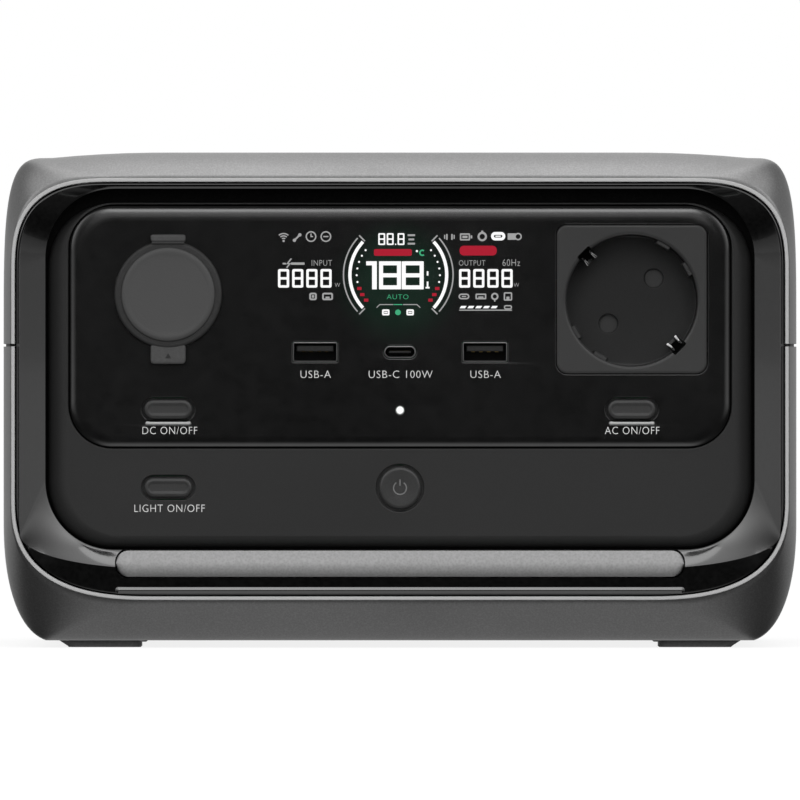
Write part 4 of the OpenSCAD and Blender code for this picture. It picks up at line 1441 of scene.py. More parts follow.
@dataclass
class Controls:
    """The glossy window with its openings, the buttons, the light guides and the printed marks."""

    kit: Kit
    window: Rounded = Rounded(0, 94.95, 195.2, 71.3, 12.5)
    side_roll: float = 3.0
    top_roll: float = 4.4
    roll_drop: float = 1.1
    socket_x: float = 68.5
    button: tuple[float, float] = (14.2, 5.6)
    gap: float = 0.8
    output_z: float = 70.4
    light_z: float = 47.3
    power: Rounded = disc(0, 47.2, 6.2)
    strip: tuple[float, float, float] = (13.4, 0.9, 66.4)
    usb_x: float = 25.1
    usb_z: float = 87.4
    rim: float = 0.22

    def key(self, x: float, z: float) -> Rounded:
        """Returns the outline of a long button."""
        return stadium(x, z, *self.button)

    def fascia_openings(self) -> list[Rounded]:
        """Gives what the fascia has to leave open.

        Returns:
            The outlines.
        """
        w = self.window
        return [Rounded(w.u, w.v, w.w + 0.8, w.h + 0.8, w.r + 0.4),
                stadium(-self.socket_x, self.light_z, self.button[0] + 2 * self.gap, self.button[1] + 2 * self.gap),
                disc(0, self.power.v, self.power.r + self.gap)]

    def window_openings(self) -> list[Rounded]:
        """Gives the openings for the sockets, the ports, the keys and the lights.

        Returns:
            The outlines.
        """
        grow, (w, h, z) = 2 * self.gap, self.strip
        keys = [stadium(x, self.output_z, self.button[0] + grow, self.button[1] + grow)
                for x in (-self.socket_x, self.socket_x)]
        strips = [stadium(x, z, w + 0.1, h + 0.1) for x in (-self.socket_x, self.socket_x)]
        ports = [Rounded(x, self.usb_z, 13.6, 6.2, 0.5) for x in (-self.usb_x, self.usb_x)]
        return [disc(-self.socket_x, middle("car_socket_barrel").z, 14.8),
                Rounded(self.socket_x, 103, 44.9, 44.5, 3.4),
                stadium(0, self.usb_z, 9.9, 4.1), disc(0, 70.2, 1.25), *ports, *keys, *strips]

    def pane(self) -> Mesh:
        """Makes the window, rolled over at its rim and most along its top.

        Returns:
            The mesh.
        """
        front, back, w = low("display_window").y, high("display_window").y, self.window

        def outline(t: float) -> Loop:
            """Returns the rim a share t of the way down its roll."""
            side, top = self.side_roll * (1 - t), self.top_roll * (1 - t)
            return Rounded(w.u, w.v - (top - side) / 2, w.w - 2 * side, w.h - side - top, w.r).loop(0, 14)

        turns = [QUARTER * k / 8 for k in range(9)]
        edge = [(math.sin(a), front + self.roll_drop * (1 - math.cos(a))) for a in turns] + [(1.0, back)]
        rim = quarter_round(-self.rim, self.rim, front, back, 3)
        return Shape().panel(outline, edge, [(hole.loop, rim) for hole in self.window_openings()]).mesh("window")

    def cap(self, node: str, outline: Rounded) -> Mesh:
        """Makes a key with a soft edge and a faint dish, its flange and its stem.

        Args:
            node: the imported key.
            outline: the key's face.

        Returns:
            The mesh.
        """
        front, back, shape = low(node).y, high(node).y, Shape()
        flange = high("display_window").y + 0.2
        dish = [(-outline.r * 0.62, front + 0.22), (-outline.r * 0.45, front + 0.1), (-1.1, front + 0.02)]
        edge = dish + quarter_round(0.95, 0.75, front, flange, 6)
        shape.panel(outline.loop, edge)
        wide = Rounded(outline.u, outline.v, outline.w + 2.8, outline.h + 1, outline.r + 0.5)
        shape.panel(wide.loop, [(0, flange), (0, flange + 1.1)])
        shape.lathe(outline.u, outline.v, [(0, flange + 0.5), (1.5, flange + 0.5), (1.5, back), (0, back)], steps=6)
        return shape.mesh(node)

    def lights(self) -> Mesh:
        """Makes the light guide behind the status dot.

        Returns:
            The mesh.
        """
        shape, front, back = Shape(), low("light_pipes").y, high("light_pipes").y
        edge = quarter_round(0.3, 0.05, front, back, 3)
        shape.panel(disc(0, 70.2, 1.1).loop, edge)
        return shape.mesh("light")

    def strips(self) -> Mesh:
        """Makes the clear strips under the output keys.

        Returns:
            The mesh.
        """
        shape, front, back = Shape(), low("light_pipes").y, high("light_pipes").y
        edge = quarter_round(0.3, 0.3, front, back, 3)
        for x in (-self.socket_x, self.socket_x):
            shape.panel(stadium(x, self.strip[2], *self.strip[:2]).loop, edge)
        return shape.mesh("strips")

    def labels(self) -> None:
        """Prints the names beside the keys and ports, and the sign on the main key."""
        f = self.kit.finish
        ink = Ink(low("display_window").y)
        ink.words("DC ON/OFF", -68.0, 64.2, 16.2, 2.2)
        ink.words("AC ON/OFF", 68.6, 64.2, 16.1, 2.2)
        ink.words("USB-A", -24.9, 80.8, 9.0, 2.2)
        ink.words("USB-A", 25.3, 80.8, 9.0, 2.2)
        ink.words("USB-C 100W", 0.2, 80.8, 18.9, 2.2)
        fit("window_labels", ink.mesh("labels"), f["mark"], Place("light_pipe"))
        ink = Ink(low("fascia").y)
        ink.words("LIGHT ON/OFF", -68.1, 41.2, 20.8, 2.2)
        fit("fascia_label", ink.mesh("label"), f["mark"], Place("light_pipe"))
        ink = Ink(low("power_button").y + 0.22, 0.05)
        ink.arc(0, self.power.v, 1.9, 0.36, 125, 415)
        ink.bar(0, self.power.v + 1.6, 0.36, 1.9)
        fit("power_sign", ink.mesh("sign"), f["faint"], Place("light_pipe", "power_key"))

    def build(self) -> None:
        """Makes the pieces."""
        f = self.kit.finish
        fit("window_pane", self.pane(), f["window"], Place("window_black", nodes=("display_window",)))
        keys = {"power": self.power, "ac": self.key(self.socket_x, self.output_z),
                "dc": self.key(-self.socket_x, self.output_z), "light": self.key(-self.socket_x, self.light_z)}
        for name, outline in keys.items():
            node = f"{name}_button"
            fit(f"{name}_keycap", self.cap(node, outline), f["button"],
                Place("button_dark", f"{name}_key", (node,)))
        fit("status_light", self.lights(), f["lit"], Place("light_pipe", nodes=("light_pipes",)))
        fit("output_strips", self.strips(), f["strip"], Place("light_pipe"))
        self.labels()


@dataclass
class Display:
    """The lit figures, gauge and signs behind the window."""

    kit: Kit
    gauge: tuple[float, float] = (-0.5, 110.2)
    thin_r: float = 16.2
    thick_r: float = 14.3
    sweep: float = 43.0
    figure: tuple[float, float, float] = (3.3, 5.5, 0.72)
    figure_pitch: float = 4.18
    figure_z: float = 109.15

    def gauge_marks(self, white: Ink, dim: Ink, red: Ink) -> None:
        """Draws the two arcs on either side, their stops and the ticks inside them.

        Args:
            white: bright marks.
            dim: faint marks.
            red: red marks.
        """
        u, v = self.gauge
        for side in (0, 180):
            white.arc(u, v, self.thick_r, 0.95, side - self.sweep, side + self.sweep)
            dim.arc(u, v, self.thin_r, 0.4, side - self.sweep + 1, side + self.sweep - 1)
            for end in (-1, 1):
                a = math.radians(side + end * (self.sweep + 2.2))
                dim.line([(u + r * math.cos(a), v + r * math.sin(a)) for r in (14.0, 16.4)], 0.4)
            for k in range(9):
                a = math.radians(side + (1 if side else -1) * (-37 + 9.4 * k))
                ink = white if k < 6 else red
                r = 12.3 - 0.05 * abs(k - 4)
                if k < 6:
                    ink.dot(u + r * math.cos(a), v + r * math.sin(a), 0.3)
                else:
                    ink.bar(u + r * math.cos(a), v + r * math.sin(a), 1.3, 0.9)

    def charge(self, white: Ink, green: Ink, red: Ink, dim: Ink) -> None:
        """Draws the large figure in the middle and what stands above and below it.

        Args:
            white: bright marks.
            green: green marks.
            red: red marks.
            dim: faint marks.
        """
        white.blot([(-10.0, 114.2), (-6.85, 114.2), (-6.85, 105.9), (-8.25, 105.9), (-8.25, 113.0), (-10.0, 113.0)])
        for u in (-2.95, 3.75):
            white.eight(u, 110.05, 6.5, 8.3, 1.2, 0.15)
        red.bar(-2.1, 116.8, 11.2, 2.0, 0.5)
        for k in range(3):
            white.eight(-5.4 + 2.5 * k + (0.7 if k == 2 else 0), 120.75, 2.05, 3.5, 0.44, 0.3)
        white.bar(-1.3, 119.2, 0.4, 0.4)
        for k in range(3):
            dim.bar(3.35, 119.4 + 1.25 * k, 2.2 - 0.5 * (k % 2), 0.55)
        white.dot(5.0, 117.2, 0.34)
        green.arc(6.6, 116.7, 0.75, 0.45, 50, 310, 10)
        green.words("AUTO", -0.7, 103.7, 6.4, 1.4)
        dim.line([(-6.9, 100.5), (-6.0, 101.4), (-2.0, 101.4)], 0.26)
        green.bar(-0.6, 101.4, 2.6, 0.28)
        dim.line([(0.9, 101.4), (5.0, 101.4), (6.0, 100.5)], 0.26)
        for u in (-4.2, 3.0):
            white.hoop(Rounded(u, 99.1, 2.2, 1.8, 0.4), 0.5)
            white.bar(u, 99.1, 1.0, 0.4)
        green.dot(-0.6, 99.1, 0.85)
        white.bar(8.15, 110.6, 0.5, 1.3)
        white.bar(8.15, 106.4, 1.2, 0.5)
        white.line([(8.15, 106.6), (8.15, 108.2)], 0.5)

    def side_figures(self, white: Ink, dim: Ink, red: Ink) -> None:
        """Draws the input figures on the left and the output figures on the right.

        Args:
            white: bright marks.
            dim: faint marks.
            red: red marks.
        """
        w, h, t = self.figure
        for first, unit in ((-34.4, -18.5), (19.1, 34.4)):
            for k in range(4):
                white.eight(first + self.figure_pitch * k, self.figure_z, w, h, t, 0.5)
            dim.words("W", unit, 107.2, 1.6, 1.2)
        dim.words("INPUT", -23.1, 113.7, 6.0, 1.7)
        dim.words("OUTPUT", 21.3, 113.7, 7.8, 1.6)
        dim.words("60Hz", 32.9, 113.8, 5.2, 2.0)
        dim.line([(-32.1, 115.0), (-33.3, 113.5), (-32.5, 113.5), (-33.5, 112.3)], 0.42)
        dim.bar(-30.2, 113.5, 4.0, 0.7)
        dim.bar(-34.2, 113.5, 1.0, 0.5)
        red.bar(23.1, 117.35, 11.0, 2.9, 1.2)

    def signs(self, white: Ink, dim: Ink) -> None:
        """Draws the small signs along the top and under the figures.

        Args:
            white: bright marks.
            dim: faint marks.
        """
        for r in (0.7, 1.4, 2.1):
            dim.arc(-34.4, 120.3, r, 0.36, 48, 132, 8)
        dim.dot(-34.4, 120.2, 0.34)
        dim.line([(-31.2, 120.4), (-29.6, 122.0)], 0.5)
        dim.dot(-31.2, 120.4, 0.5)
        dim.dot(-29.6, 122.0, 0.5)
        for u in (-26.3, -21.9):
            dim.hoop(disc(u, 121.5, 1.6), 0.38)
        dim.line([(-26.3, 122.4), (-26.3, 121.5), (-25.7, 121.5)], 0.32)
        dim.bar(-21.9, 121.5, 1.5, 0.36)
        for side in (-1, 1):
            dim.bar(14.6 + side * 0.75, 121.4, 0.45, 1.7)
            dim.bar(14.6 + side * 1.4, 121.4, 0.35, 1.2)
        dim.hoop(Rounded(19.2, 121.4, 3.0, 2.1, 0.3), 0.42)
        dim.bar(21.1, 121.4, 0.5, 0.9)
        dim.bar(19.2, 121.4, 1.5, 0.7)
        dim.hoop(disc(24.3, 121.5, 1.4), 0.6)
        dim.bar(24.3, 123.0, 0.6, 0.5)
        white.hoop(Rounded(29.0, 121.6, 4.2, 2.5, 1.2), 0.85)
        white.bar(29.0, 121.6, 1.6, 0.35)
        dim.bar(33.0, 121.5, 2.4, 1.9)
        dim.hoop(disc(34.9, 121.5, 1.1), 0.4)
        for u, wide in ((-25.7, 2.2), (-21.4, 3.2)):
            dim.hoop(Rounded(u, 103.8, wide, 2.2, 0.6), 0.5)
        dim.bar(-21.4, 103.5, 1.2, 0.5)
        dim.bar(-25.7, 103.8, 0.7, 0.7)
        dim.hoop(Rounded(18.9, 103.8, 3.2, 1.7, 0.84), 0.42)
        dim.bar(18.9, 103.8, 1.3, 0.3)
        dim.hoop(Rounded(23.9, 103.8, 3.2, 1.7, 0.3), 0.42)
        dim.bar(23.9, 103.6, 1.5, 0.4)
        dim.hoop(disc(28.0, 103.8, 1.1), 0.5)
        dim.bar(28.0, 102.5, 0.4, 0.5)
        dim.hoop(Rounded(31.9, 103.8, 2.5, 2.5, 0.4), 0.4)
        dim.bar(31.9, 103.3, 0.9, 0.9)
        for k in range(5):
            u = 18.6 + 2.3 * k
            white.blot([(u - 1.0, 100.3), (u + 0.6, 100.3), (u + 1.1, 101.0), (u - 0.5, 101.0)])
        dim.bar(25.3, 99.75, 15.6, 0.32)
        dim.hoop(Rounded(31.9, 100.6, 2.4, 1.3, 0.6), 0.36)

    def build(self) -> None:
        """Makes one piece for each colour of light."""
        inks = {key: Ink(low("display_window").y, 0.03) for key in ("lit", "dim", "green", "red")}
        white, dim, green, red = inks.values()
        self.gauge_marks(white, dim, red)
        self.charge(white, green, red, dim)
        self.side_figures(white, dim, red)
        self.signs(white, dim)
        for key, ink in inks.items():
            fit(f"display_{key}", ink.mesh(key), self.kit.finish[key], Place("light_pipe"))


def cup(shape: Shape, outer: list[list[int]], hole: list[list[int]]) -> None:
    """Closes a blind recess: the face round its mouth, its floor and the back behind it.

    Args:
        shape: what the recess is part of.
        outer: rings of the outside, from face to back.
        hole: rings of the recess, from mouth to floor.
    """
    shape.cap(outer[0], [hole[0]])
    shape.cap(hole[-1])
    shape.cap(outer[-1])


@dataclass
class UsbPorts:
    """The three USB ports: steel shells, tongues and their contacts."""

    kit: Kit
    a_x: float = 25.1
    z: float = 87.4
    shell_wall: float = 0.35
    tongue: tuple[float, float] = (11.0, 1.8)

    def shell(self, node: str, outline: Rounded, wall: float) -> Mesh:
        """Makes a shell with a rolled mouth and a closed back.

        Args:
            node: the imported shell.
            outline: its outside.
            wall: how thick it is.

        Returns:
            The mesh.
        """
        shape, front, back = Shape(), low(node).y, high(node).y
        outer = shape.walls(outline.loop, quarter_round(0.12, 0.12, front, back, 3), Plane.FRONT)
        hole = shape.walls(outline.loop, [(-wall + 0.08, front), (-wall, front + 0.3), (-wall, back - 1)],
                           Plane.FRONT)
        cup(shape, outer, hole)
        return shape.mesh(node)

    def tongues(self) -> Mesh:
        """Makes the insulating tongues with soft front edges.

        Returns:
            The mesh.
        """
        shape, front, back = Shape(), low("usb_tongues").y, high("usb_tongues").y
        for x in (-self.a_x, self.a_x):
            shape.panel(Rounded(x, self.z + 1, *self.tongue, 0.25).loop, quarter_round(0.4, 0.5, front, back, 3))
        shape.panel(Rounded(0, self.z, 6.6, 0.7, 0.2).loop, quarter_round(0.15, 0.3, front, back, 3))
        return shape.mesh("tongues")

    def contacts(self) -> Mesh:
        """Makes the contacts under and over the tongues.

        Returns:
            The mesh.
        """
        front = low("usb_tongues").y
        wide = Shape().panel(Rounded(0, 0, 1.1, 0.24, 0.08).loop, quarter_round(0.05, 0.1, 0, 7.5, 2))
        fine = Shape().panel(Rounded(0, 0, 0.26, 0.1, 0.03).loop, [(0, 0), (0, 4)])
        parts = [self.kit.row(wide, "brass", 4, 1, (x - 3.5, front + 0.25, self.z + 0.08), (2.33, 0, 0))
                 for x in (-self.a_x, self.a_x)]
        parts.append(self.kit.row(fine, "brass", 12, 2, (-2.75, front + 0.8, self.z - 0.35), (0.5, 0, 0),
                                  (0, 0, 0.7)))
        return together(*parts)

    def build(self) -> None:
        """Makes the pieces."""
        f = self.kit.finish
        for side, x in (("left", -self.a_x), ("right", self.a_x)):
            node = f"usb_a_{side}_shell"
            fit(f"usb_a_{side}", self.shell(node, Rounded(x, self.z, 13.2, 5.8, 0.6), self.shell_wall), f["steel"],
                Place("port_steel", nodes=(node,)))
        fit("usb_c", self.shell("usb_c_shell", stadium(0, self.z, 9.4, 3.6), 0.4), f["steel"],
            Place("port_steel", nodes=("usb_c_shell",)))
        fit("usb_tongue_set", self.tongues(), f["insulator"], Place("port_insulator", nodes=("usb_tongues",)))
        fit("usb_contacts", self.contacts(), f["brass"], Place("contact_brass"))


@dataclass
class CarOutlet:
    """The 12 volt outlet with its hinged rubber cover."""

    kit: Kit
    x: float = -68.5
    z: float = 104.4
    cover_r: float = 15.9
    face_r: float = 13.9
    plug_r: float = 10.6
    top_z: float = 119.6
    bead_r: float = 0.45

    def cover(self) -> Mesh:
        """Makes the cover: a stepped disc cut flat at the top, its plug and its hinge bead.

        Returns:
            The mesh.
        """
        shape, front = Shape(), low("car_socket_cap").y
        face = low("display_window").y

        def cut(radius: float) -> Callable[[float], Loop]:
            """Returns a circle that stops at the flat top."""
            return lambda grow: [(u, min(v, self.top_z)) for u, v in disc(self.x, self.z, radius).loop(grow, 22)]

        shape.panel(cut(self.cover_r), quarter_round(0.9, 0.9, face - 2.2, face - 0.1, 6))
        groove = [(-2.4, front + 0.12), (-1.9, front + 0.03)]
        shape.panel(cut(self.face_r), groove + quarter_round(1.3, 0.75, front, face - 2.0, 7))
        shape.tube(self.x, self.z, self.plug_r, self.plug_r - 2.4, face + 3.2, face - 0.2, edge=0.5)
        shape.lathe(face - 2.2, self.top_z, [(0, self.x - 4.8), (self.bead_r, self.x - 4.8),
                                             (self.bead_r, self.x + 4.8), (0, self.x + 4.8)], Plane.SIDE, 5)
        return shape.mesh("cover")

    def body(self) -> None:
        """Makes the housing, the barrel and the contact at its bottom."""
        f, face = self.kit.finish, low("display_window").y
        parts = {
            "outlet_housing": ("socket", "socket_grey", "car_socket_housing",
                               [(11.55, 0.7), (11.85, 0.4), (14.3, 0.4), (14.6, 0.7), (14.6, 2.4), (13.6, 2.7),
                                (13.6, 45.7), (13.3, 46), (3.2, 46), (3.2, 42), (11.55, 42)]),
            "outlet_barrel": ("steel", "port_steel", "car_socket_barrel",
                              [(10.5, 4.9), (10.6, 4.4), (11.0, 4.2), (11.4, 4.4), (11.5, 4.9), (11.5, 38.8),
                               (11.3, 39), (10.5, 39), (10.5, 14.8), (10.38, 14.2), (10.38, 13.4), (10.5, 12.8)]),
        }
        for name, (finish, slot, node, profile) in parts.items():
            shape = Shape().lathe(self.x, self.z, [(r, face + d) for r, d in profile], looped=True)
            fit(name, shape.mesh(name), f[finish], Place(slot, nodes=(node,)))
        tip = [(0, 40.2), (2.0, 40.25), (4.6, 40.4), (5.8, 40.8), (6, 41.2), (6, 41.8), (3, 41.9), (3, 51.6),
               (2.6, 52), (0, 52)]
        shape = Shape().lathe(self.x, self.z, [(r, face + d) for r, d in tip])
        fit("outlet_contact", shape.mesh("contact"), f["brass"],
            Place("contact_brass", nodes=("car_socket_contact",)))

    def build(self) -> None:
        """Makes the pieces."""
        f, face = self.kit.finish, low("display_window").y
        self.body()
        fit("outlet_cover", self.cover(), f["cover"], Place("cap_rubber", "outlet_cover", ("car_socket_cap",)))
        tab = Shape().panel(Rounded(self.x, self.z - 17.6, 10.4, 6.0, 1.2).loop,
                            quarter_round(0.7, 0.6, face - 1.9, face - 0.1, 5))
        fit("outlet_tab", tab.mesh("tab"), f["cap"], Place("cap_rubber", "outlet_cover"))
        anchor = Shape().panel(Rounded(self.x, self.top_z + 1.4, 10.4, 2.2, 0.8).loop,
                               quarter_round(0.5, 0.5, face - 1.8, face, 5))
        fit("outlet_anchor", anchor.mesh("anchor"), f["cap"], Place("cap_rubber", nodes=("cap_anchor",)))
        ink, z = Ink(face - 1.9, 0.03), self.z - 18.9
        ink.blot([(self.x - 0.9, z), (self.x + 0.9, z), (self.x, z + 1.5)])
        fit("outlet_lift_mark", ink.mesh("mark"), f["insulator"], Place("cap_rubber", "outlet_cover"))


@dataclass
class MainsOutlet:
    """The round mains socket: its plate and recess, the shutter, the earth clips and dark blocks between their
    prongs, which are painted shade.

    A notch and a prong are given by how far out they lie and by their sizes along and across the radius.
    """

    kit: Kit
    x: float = 68.5
    z: float = 102.6
    plate: Rounded = Rounded(68.5, 103.0, 44.5, 44.1, 3.2)
    recess_r: float = 19.4
    depth: float = 17.5
    pin_r: float = 2.75
    pin_reach: float = 9.5
    earths: tuple[float, float] = (135, 315)
    notch: tuple[float, float, float] = (18.9, 3.2, 4.8)
    prong: tuple[float, float, float] = (17.9, 2.9, 0.8)
    prong_swing: float = 5.6
    prong_run: float = 11.0

    def along(self, angle: float, reach: float) -> tuple[float, float]:
        """Returns the point at an angle and distance from the socket's middle."""
        a = math.radians(angle)
        return self.x + reach * math.cos(a), self.z + reach * math.sin(a)

    def turned(self, angle: float, reach: float, w: float, h: float) -> Loop:
        """Gives a small rectangle turned to face the middle.

        Args:
            angle: where it lies around the middle.
            reach: how far out its own middle is.
            w: size along the radius.
            h: size across it.

        Returns:
            The outline.
        """
        a, (u, v) = math.radians(angle), self.along(angle, reach)
        return [(u + p * math.cos(a) - q * math.sin(a), v + p * math.sin(a) + q * math.cos(a))
                for p, q in Rounded(0, 0, w, h, 0.3).loop(0, 3)]

    def body(self) -> Mesh:
        """Makes the plate and the recess behind it, with the pin holes through its floor.

        Returns:
            The mesh.
        """
        shape, front = Shape(), low("ac_socket_cup").y
        floor, back, well = front + self.depth, front + self.depth + 2.4, disc(self.x, self.z, self.recess_r)
        outer = shape.walls(self.plate.loop, quarter_round(0.8, 0.7, front, front + 3.1, 6), Plane.FRONT)
        rim = quarter_round(-1.1, 0.9, front, floor - 0.5, 6) + [(-0.15, floor - 0.15), (-0.5, floor)]
        mouth = shape.walls(lambda g: well.loop(g, 20), rim, Plane.FRONT)
        pins = [disc(*self.along(a, self.pin_reach), self.pin_r) for a in (45, 225)]
        holes = [shape.walls(pin.loop, quarter_round(-0.35, 0.35, floor, back, 3), Plane.FRONT) for pin in pins]
        rear = shape.walls(lambda g: well.loop(g, 20), [(1.7, front + 3.1), (1.7, back)], Plane.FRONT)
        shape.cap(outer[0], [mouth[0]])
        shape.cap(mouth[-1], [hole[0] for hole in holes])
        shape.cap(outer[-1], [rear[0]])
        shape.cap(rear[-1], [hole[-1] for hole in holes])
        notches = [Shape().panel(lambda _, p=self.turned(a, *self.notch): p, [(0, front - 1), (0, floor - 3)])
                   for a in self.earths]
        ribs = Shape()
        for side in (45, 225):
            for swing in (-15.5, 15.5):
                loop = self.turned(side + swing, self.recess_r - 0.2, 2.2, 4.6)
                ribs.panel(lambda g, p=loop, s=side + swing: p if g >= 0 else self.turned(s, self.recess_r, 1.9, 4.0),
                           [(-1, front + 1.3), (0, front + 1.8), (0, floor + 0.2)])
        return together(carve(shape.mesh("body"), [notch.mesh("notch") for notch in notches]), ribs.mesh("ribs"))

    def clips(self) -> Mesh:
        """Makes the earth clips: two sprung prongs on either side of a slot, joined at their feet.

        Returns:
            The mesh.
        """
        shape, front = Shape(), low("ac_earth_clips").y
        foot = front + self.prong_run
        for a in self.earths:
            for side in (-1, 1):
                blade = self.turned(a + side * self.prong_swing, *self.prong)
                bent = self.turned(a + side * (self.prong_swing - 1.2), self.prong[0] + 0.9, 1.2, 0.5)
                shape.panel(lambda g, p=blade, q=bent: p if g >= 0 else q,
                            [(-1, front), (0, front + 0.9), (0, foot)])
            shape.panel(lambda _, p=self.turned(a, self.prong[0] - 0.9, 0.9, 3.6): p,
                        [(0, foot - 3.5), (0, foot + 0.3)])
        return shape.mesh("clips")

    def wells(self) -> Mesh:
        """Makes dark blocks between the prongs: painted shade where the earth slots fall into shadow.

        Returns:
            The mesh.
        """
        shape, front = Shape(), low("ac_earth_clips").y
        for a in self.earths:
            shape.panel(lambda _, p=self.turned(a, self.prong[0] + 0.5, 3.4, 3.3): p,
                        [(0, front + self.prong_run - 2.6), (0, front + self.prong_run + 0.2)])
        return shape.mesh("wells")

    def build(self) -> None:
        """Makes the pieces."""
        f = self.kit.finish
        fit("mains_socket", self.body(), f["socket"], Place("socket_grey", nodes=("ac_socket_cup",)))
        shutter = honed("ac_socket_shutter", 0.3)
        fit("mains_shutter", shutter, f["button"], Place("socket_grey", "socket_shutter", ("ac_socket_shutter",)))
        fit("mains_earth_clips", self.clips(), f["nickel"], Place("earth_nickel", nodes=("ac_earth_clips",)))
        # painted shadow: dark blocks between the earth prongs
        fit("mains_earth_wells", self.wells(), f["void"], Place("port_insulator"))


def honed(node: str, width: float) -> Mesh:
    """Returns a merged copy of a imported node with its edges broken.

    Args:
        node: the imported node.
        width: how wide the bevel is.

    Returns:
        The mesh.
    """
    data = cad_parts[node].data.copy()
    work = bmesh.new()
    work.from_mesh(data)
    bmesh.ops.remove_doubles(work, verts=work.verts, dist=1e-6)
    bmesh.ops.dissolve_limit(work, angle_limit=math.radians(1), verts=work.verts, edges=work.edges)
    work.to_mesh(data)
    work.free()
    body = loose("honed", data)
    step = body.modifiers.new("break", "BEVEL")
    step.width, step.segments, step.limit_method, step.angle_limit = width * MM, 2, "ANGLE", math.radians(40)
    data = baked(body)
    data.shade_smooth()
    data.set_sharp_from_angle(angle=SOFT_EDGE)
    return data


@dataclass
class SideVents:
    """The slatted grilles in both sides and the fans behind them."""

    kit: Kit
    plate: Rounded = Rounded(10, 52, 99.4, 55.4, 7.7)
    flange: Rounded = Rounded(10, 52, 105, 61, 9)
    opening: Rounded = Rounded(10, 52, 87.2, 44, 1.6)
    face_x: float = 116.0
    pitch: float = 6.0
    slats: int = 14
    fan: tuple[float, float, float] = (103.0, 8.0, 52.0)
    hub_r: float = 12.0
    root_r: float = 11.0
    tip_r: float = 27.4
    blades: int = 7
    blade_steps: int = 8
    blade_points: int = 16

    def grille(self, side: int) -> Mesh:
        """Makes one grille: a frame with round edges and slats set back in it.

        Args:
            side: -1 for the left, 1 for the right.

        Returns:
            The mesh.
        """
        shape, face = Shape(), side * self.face_x
        inner = side * 113.4
        shape.panel(self.plate.loop, quarter_round(0.7, 0.6, face, inner, 4),
                    [(self.opening.loop, quarter_round(-0.6, 0.6, face, inner, 4))], Plane.SIDE)
        shape.panel(self.flange.loop, [(0, side * 114.2), (0, side * 113.2)],
                    [(self.opening.loop, [(0.8, side * 114.2), (0.8, side * 113.2)])], Plane.SIDE)
        slat = Shape().panel(Rounded(0, 0, 2.0, self.pitch - 3.2, 0.9).loop, [(0, -22.4), (0, 22.4)],
                             plane=Plane.TOP)
        first = self.opening.u - self.pitch * (self.slats - 1) / 2
        rows = self.kit.row(slat, "grille", self.slats, 1, (side * (self.face_x - 1.5), first, self.opening.v),
                            (0, self.pitch, 0))
        cross = Shape().panel(Rounded(0, 0, 1.2, 1.6, 0.5).loop, [(0, -43.8), (0, 43.8)], plane=Plane.FRONT)
        bars = self.kit.row(cross, "grille", 1, 2, (side * (self.face_x - 2.0), self.opening.u,
                                                    self.opening.v - 7.3), down=(0, 0, 14.6))
        return together(shape.mesh("frame"), rows, bars)

    def rotor(self, side: int) -> Mesh:
        """Makes one rotor: a domed hub and twisted blades.

        Args:
            side: -1 for the left, 1 for the right.

        Returns:
            The mesh.
        """
        x, y, z = self.fan
        hub = [(0, x - 7.4), (1.55, x - 7.4), (11.2, x - 7.4), (self.hub_r, x - 6.4), (self.hub_r, x + 7.2),
               (10.8, x + 8.6), (9.0, x + 9.0), (0, x + 9.0)]
        centre = Shape().lathe(y, z, [(r, side * d) for r, d in hub], Plane.SIDE)
        blade, rings = Shape(), []
        for k in range(self.blade_steps + 1):
            t = k / self.blade_steps
            radius, pitch = self.root_r + (self.tip_r - 0.2 - self.root_r) * t, math.radians(46 - 16 * t)
            chord, thick, sweep = 5.6 + 1.7 * math.sin(math.pi * (0.2 + 0.6 * t)), 0.75 - 0.25 * t, 2.6 * t * t
            loop = []
            for j in range(self.blade_points):
                a = math.tau * j / self.blade_points
                s, n = chord * math.cos(a), thick * math.sin(a) + 0.9 * (1 - math.cos(a) ** 2)
                loop.append((side * (-s * math.sin(pitch) + n * math.cos(pitch)),
                             s * math.cos(pitch) + n * math.sin(pitch) + sweep))
            rings.append(blade.ring(loop, radius, Plane.TOP))
        for a, b in zip(rings, rings[1:]):
            blade.skin(a, b)
        blade.cap(rings[0])
        blade.cap(rings[-1])
        blades = self.kit.pattern.wheel.grow(blade.mesh("blade"), {
            "Count": self.blades, "Centre": (side * x * MM, y * MM, z * MM), "Axis": (1.0, 0.0, 0.0),
            "Finish": self.kit.finish["black"]})
        return together(centre.mesh("hub"), blades)

    def build(self) -> None:
        """Makes the pieces."""
        f = self.kit.finish
        for name, side in (("left", -1), ("right", 1)):
            fit(f"side_grille_{name}", self.grille(side), f["grille"],
                Place("grille_black", nodes=(f"vent_grille_{name}",)))
            fit(f"fan_rotor_{name}", self.rotor(side), f["black"],
                Place("inner_black", f"{name}_rotor", (f"fan_{name}_rotor",)))
            fit(f"fan_housing_{name}", honed(f"fan_{name}_frame", 0.4), f["black"],
                Place("inner_black", nodes=(f"fan_{name}_frame",)))


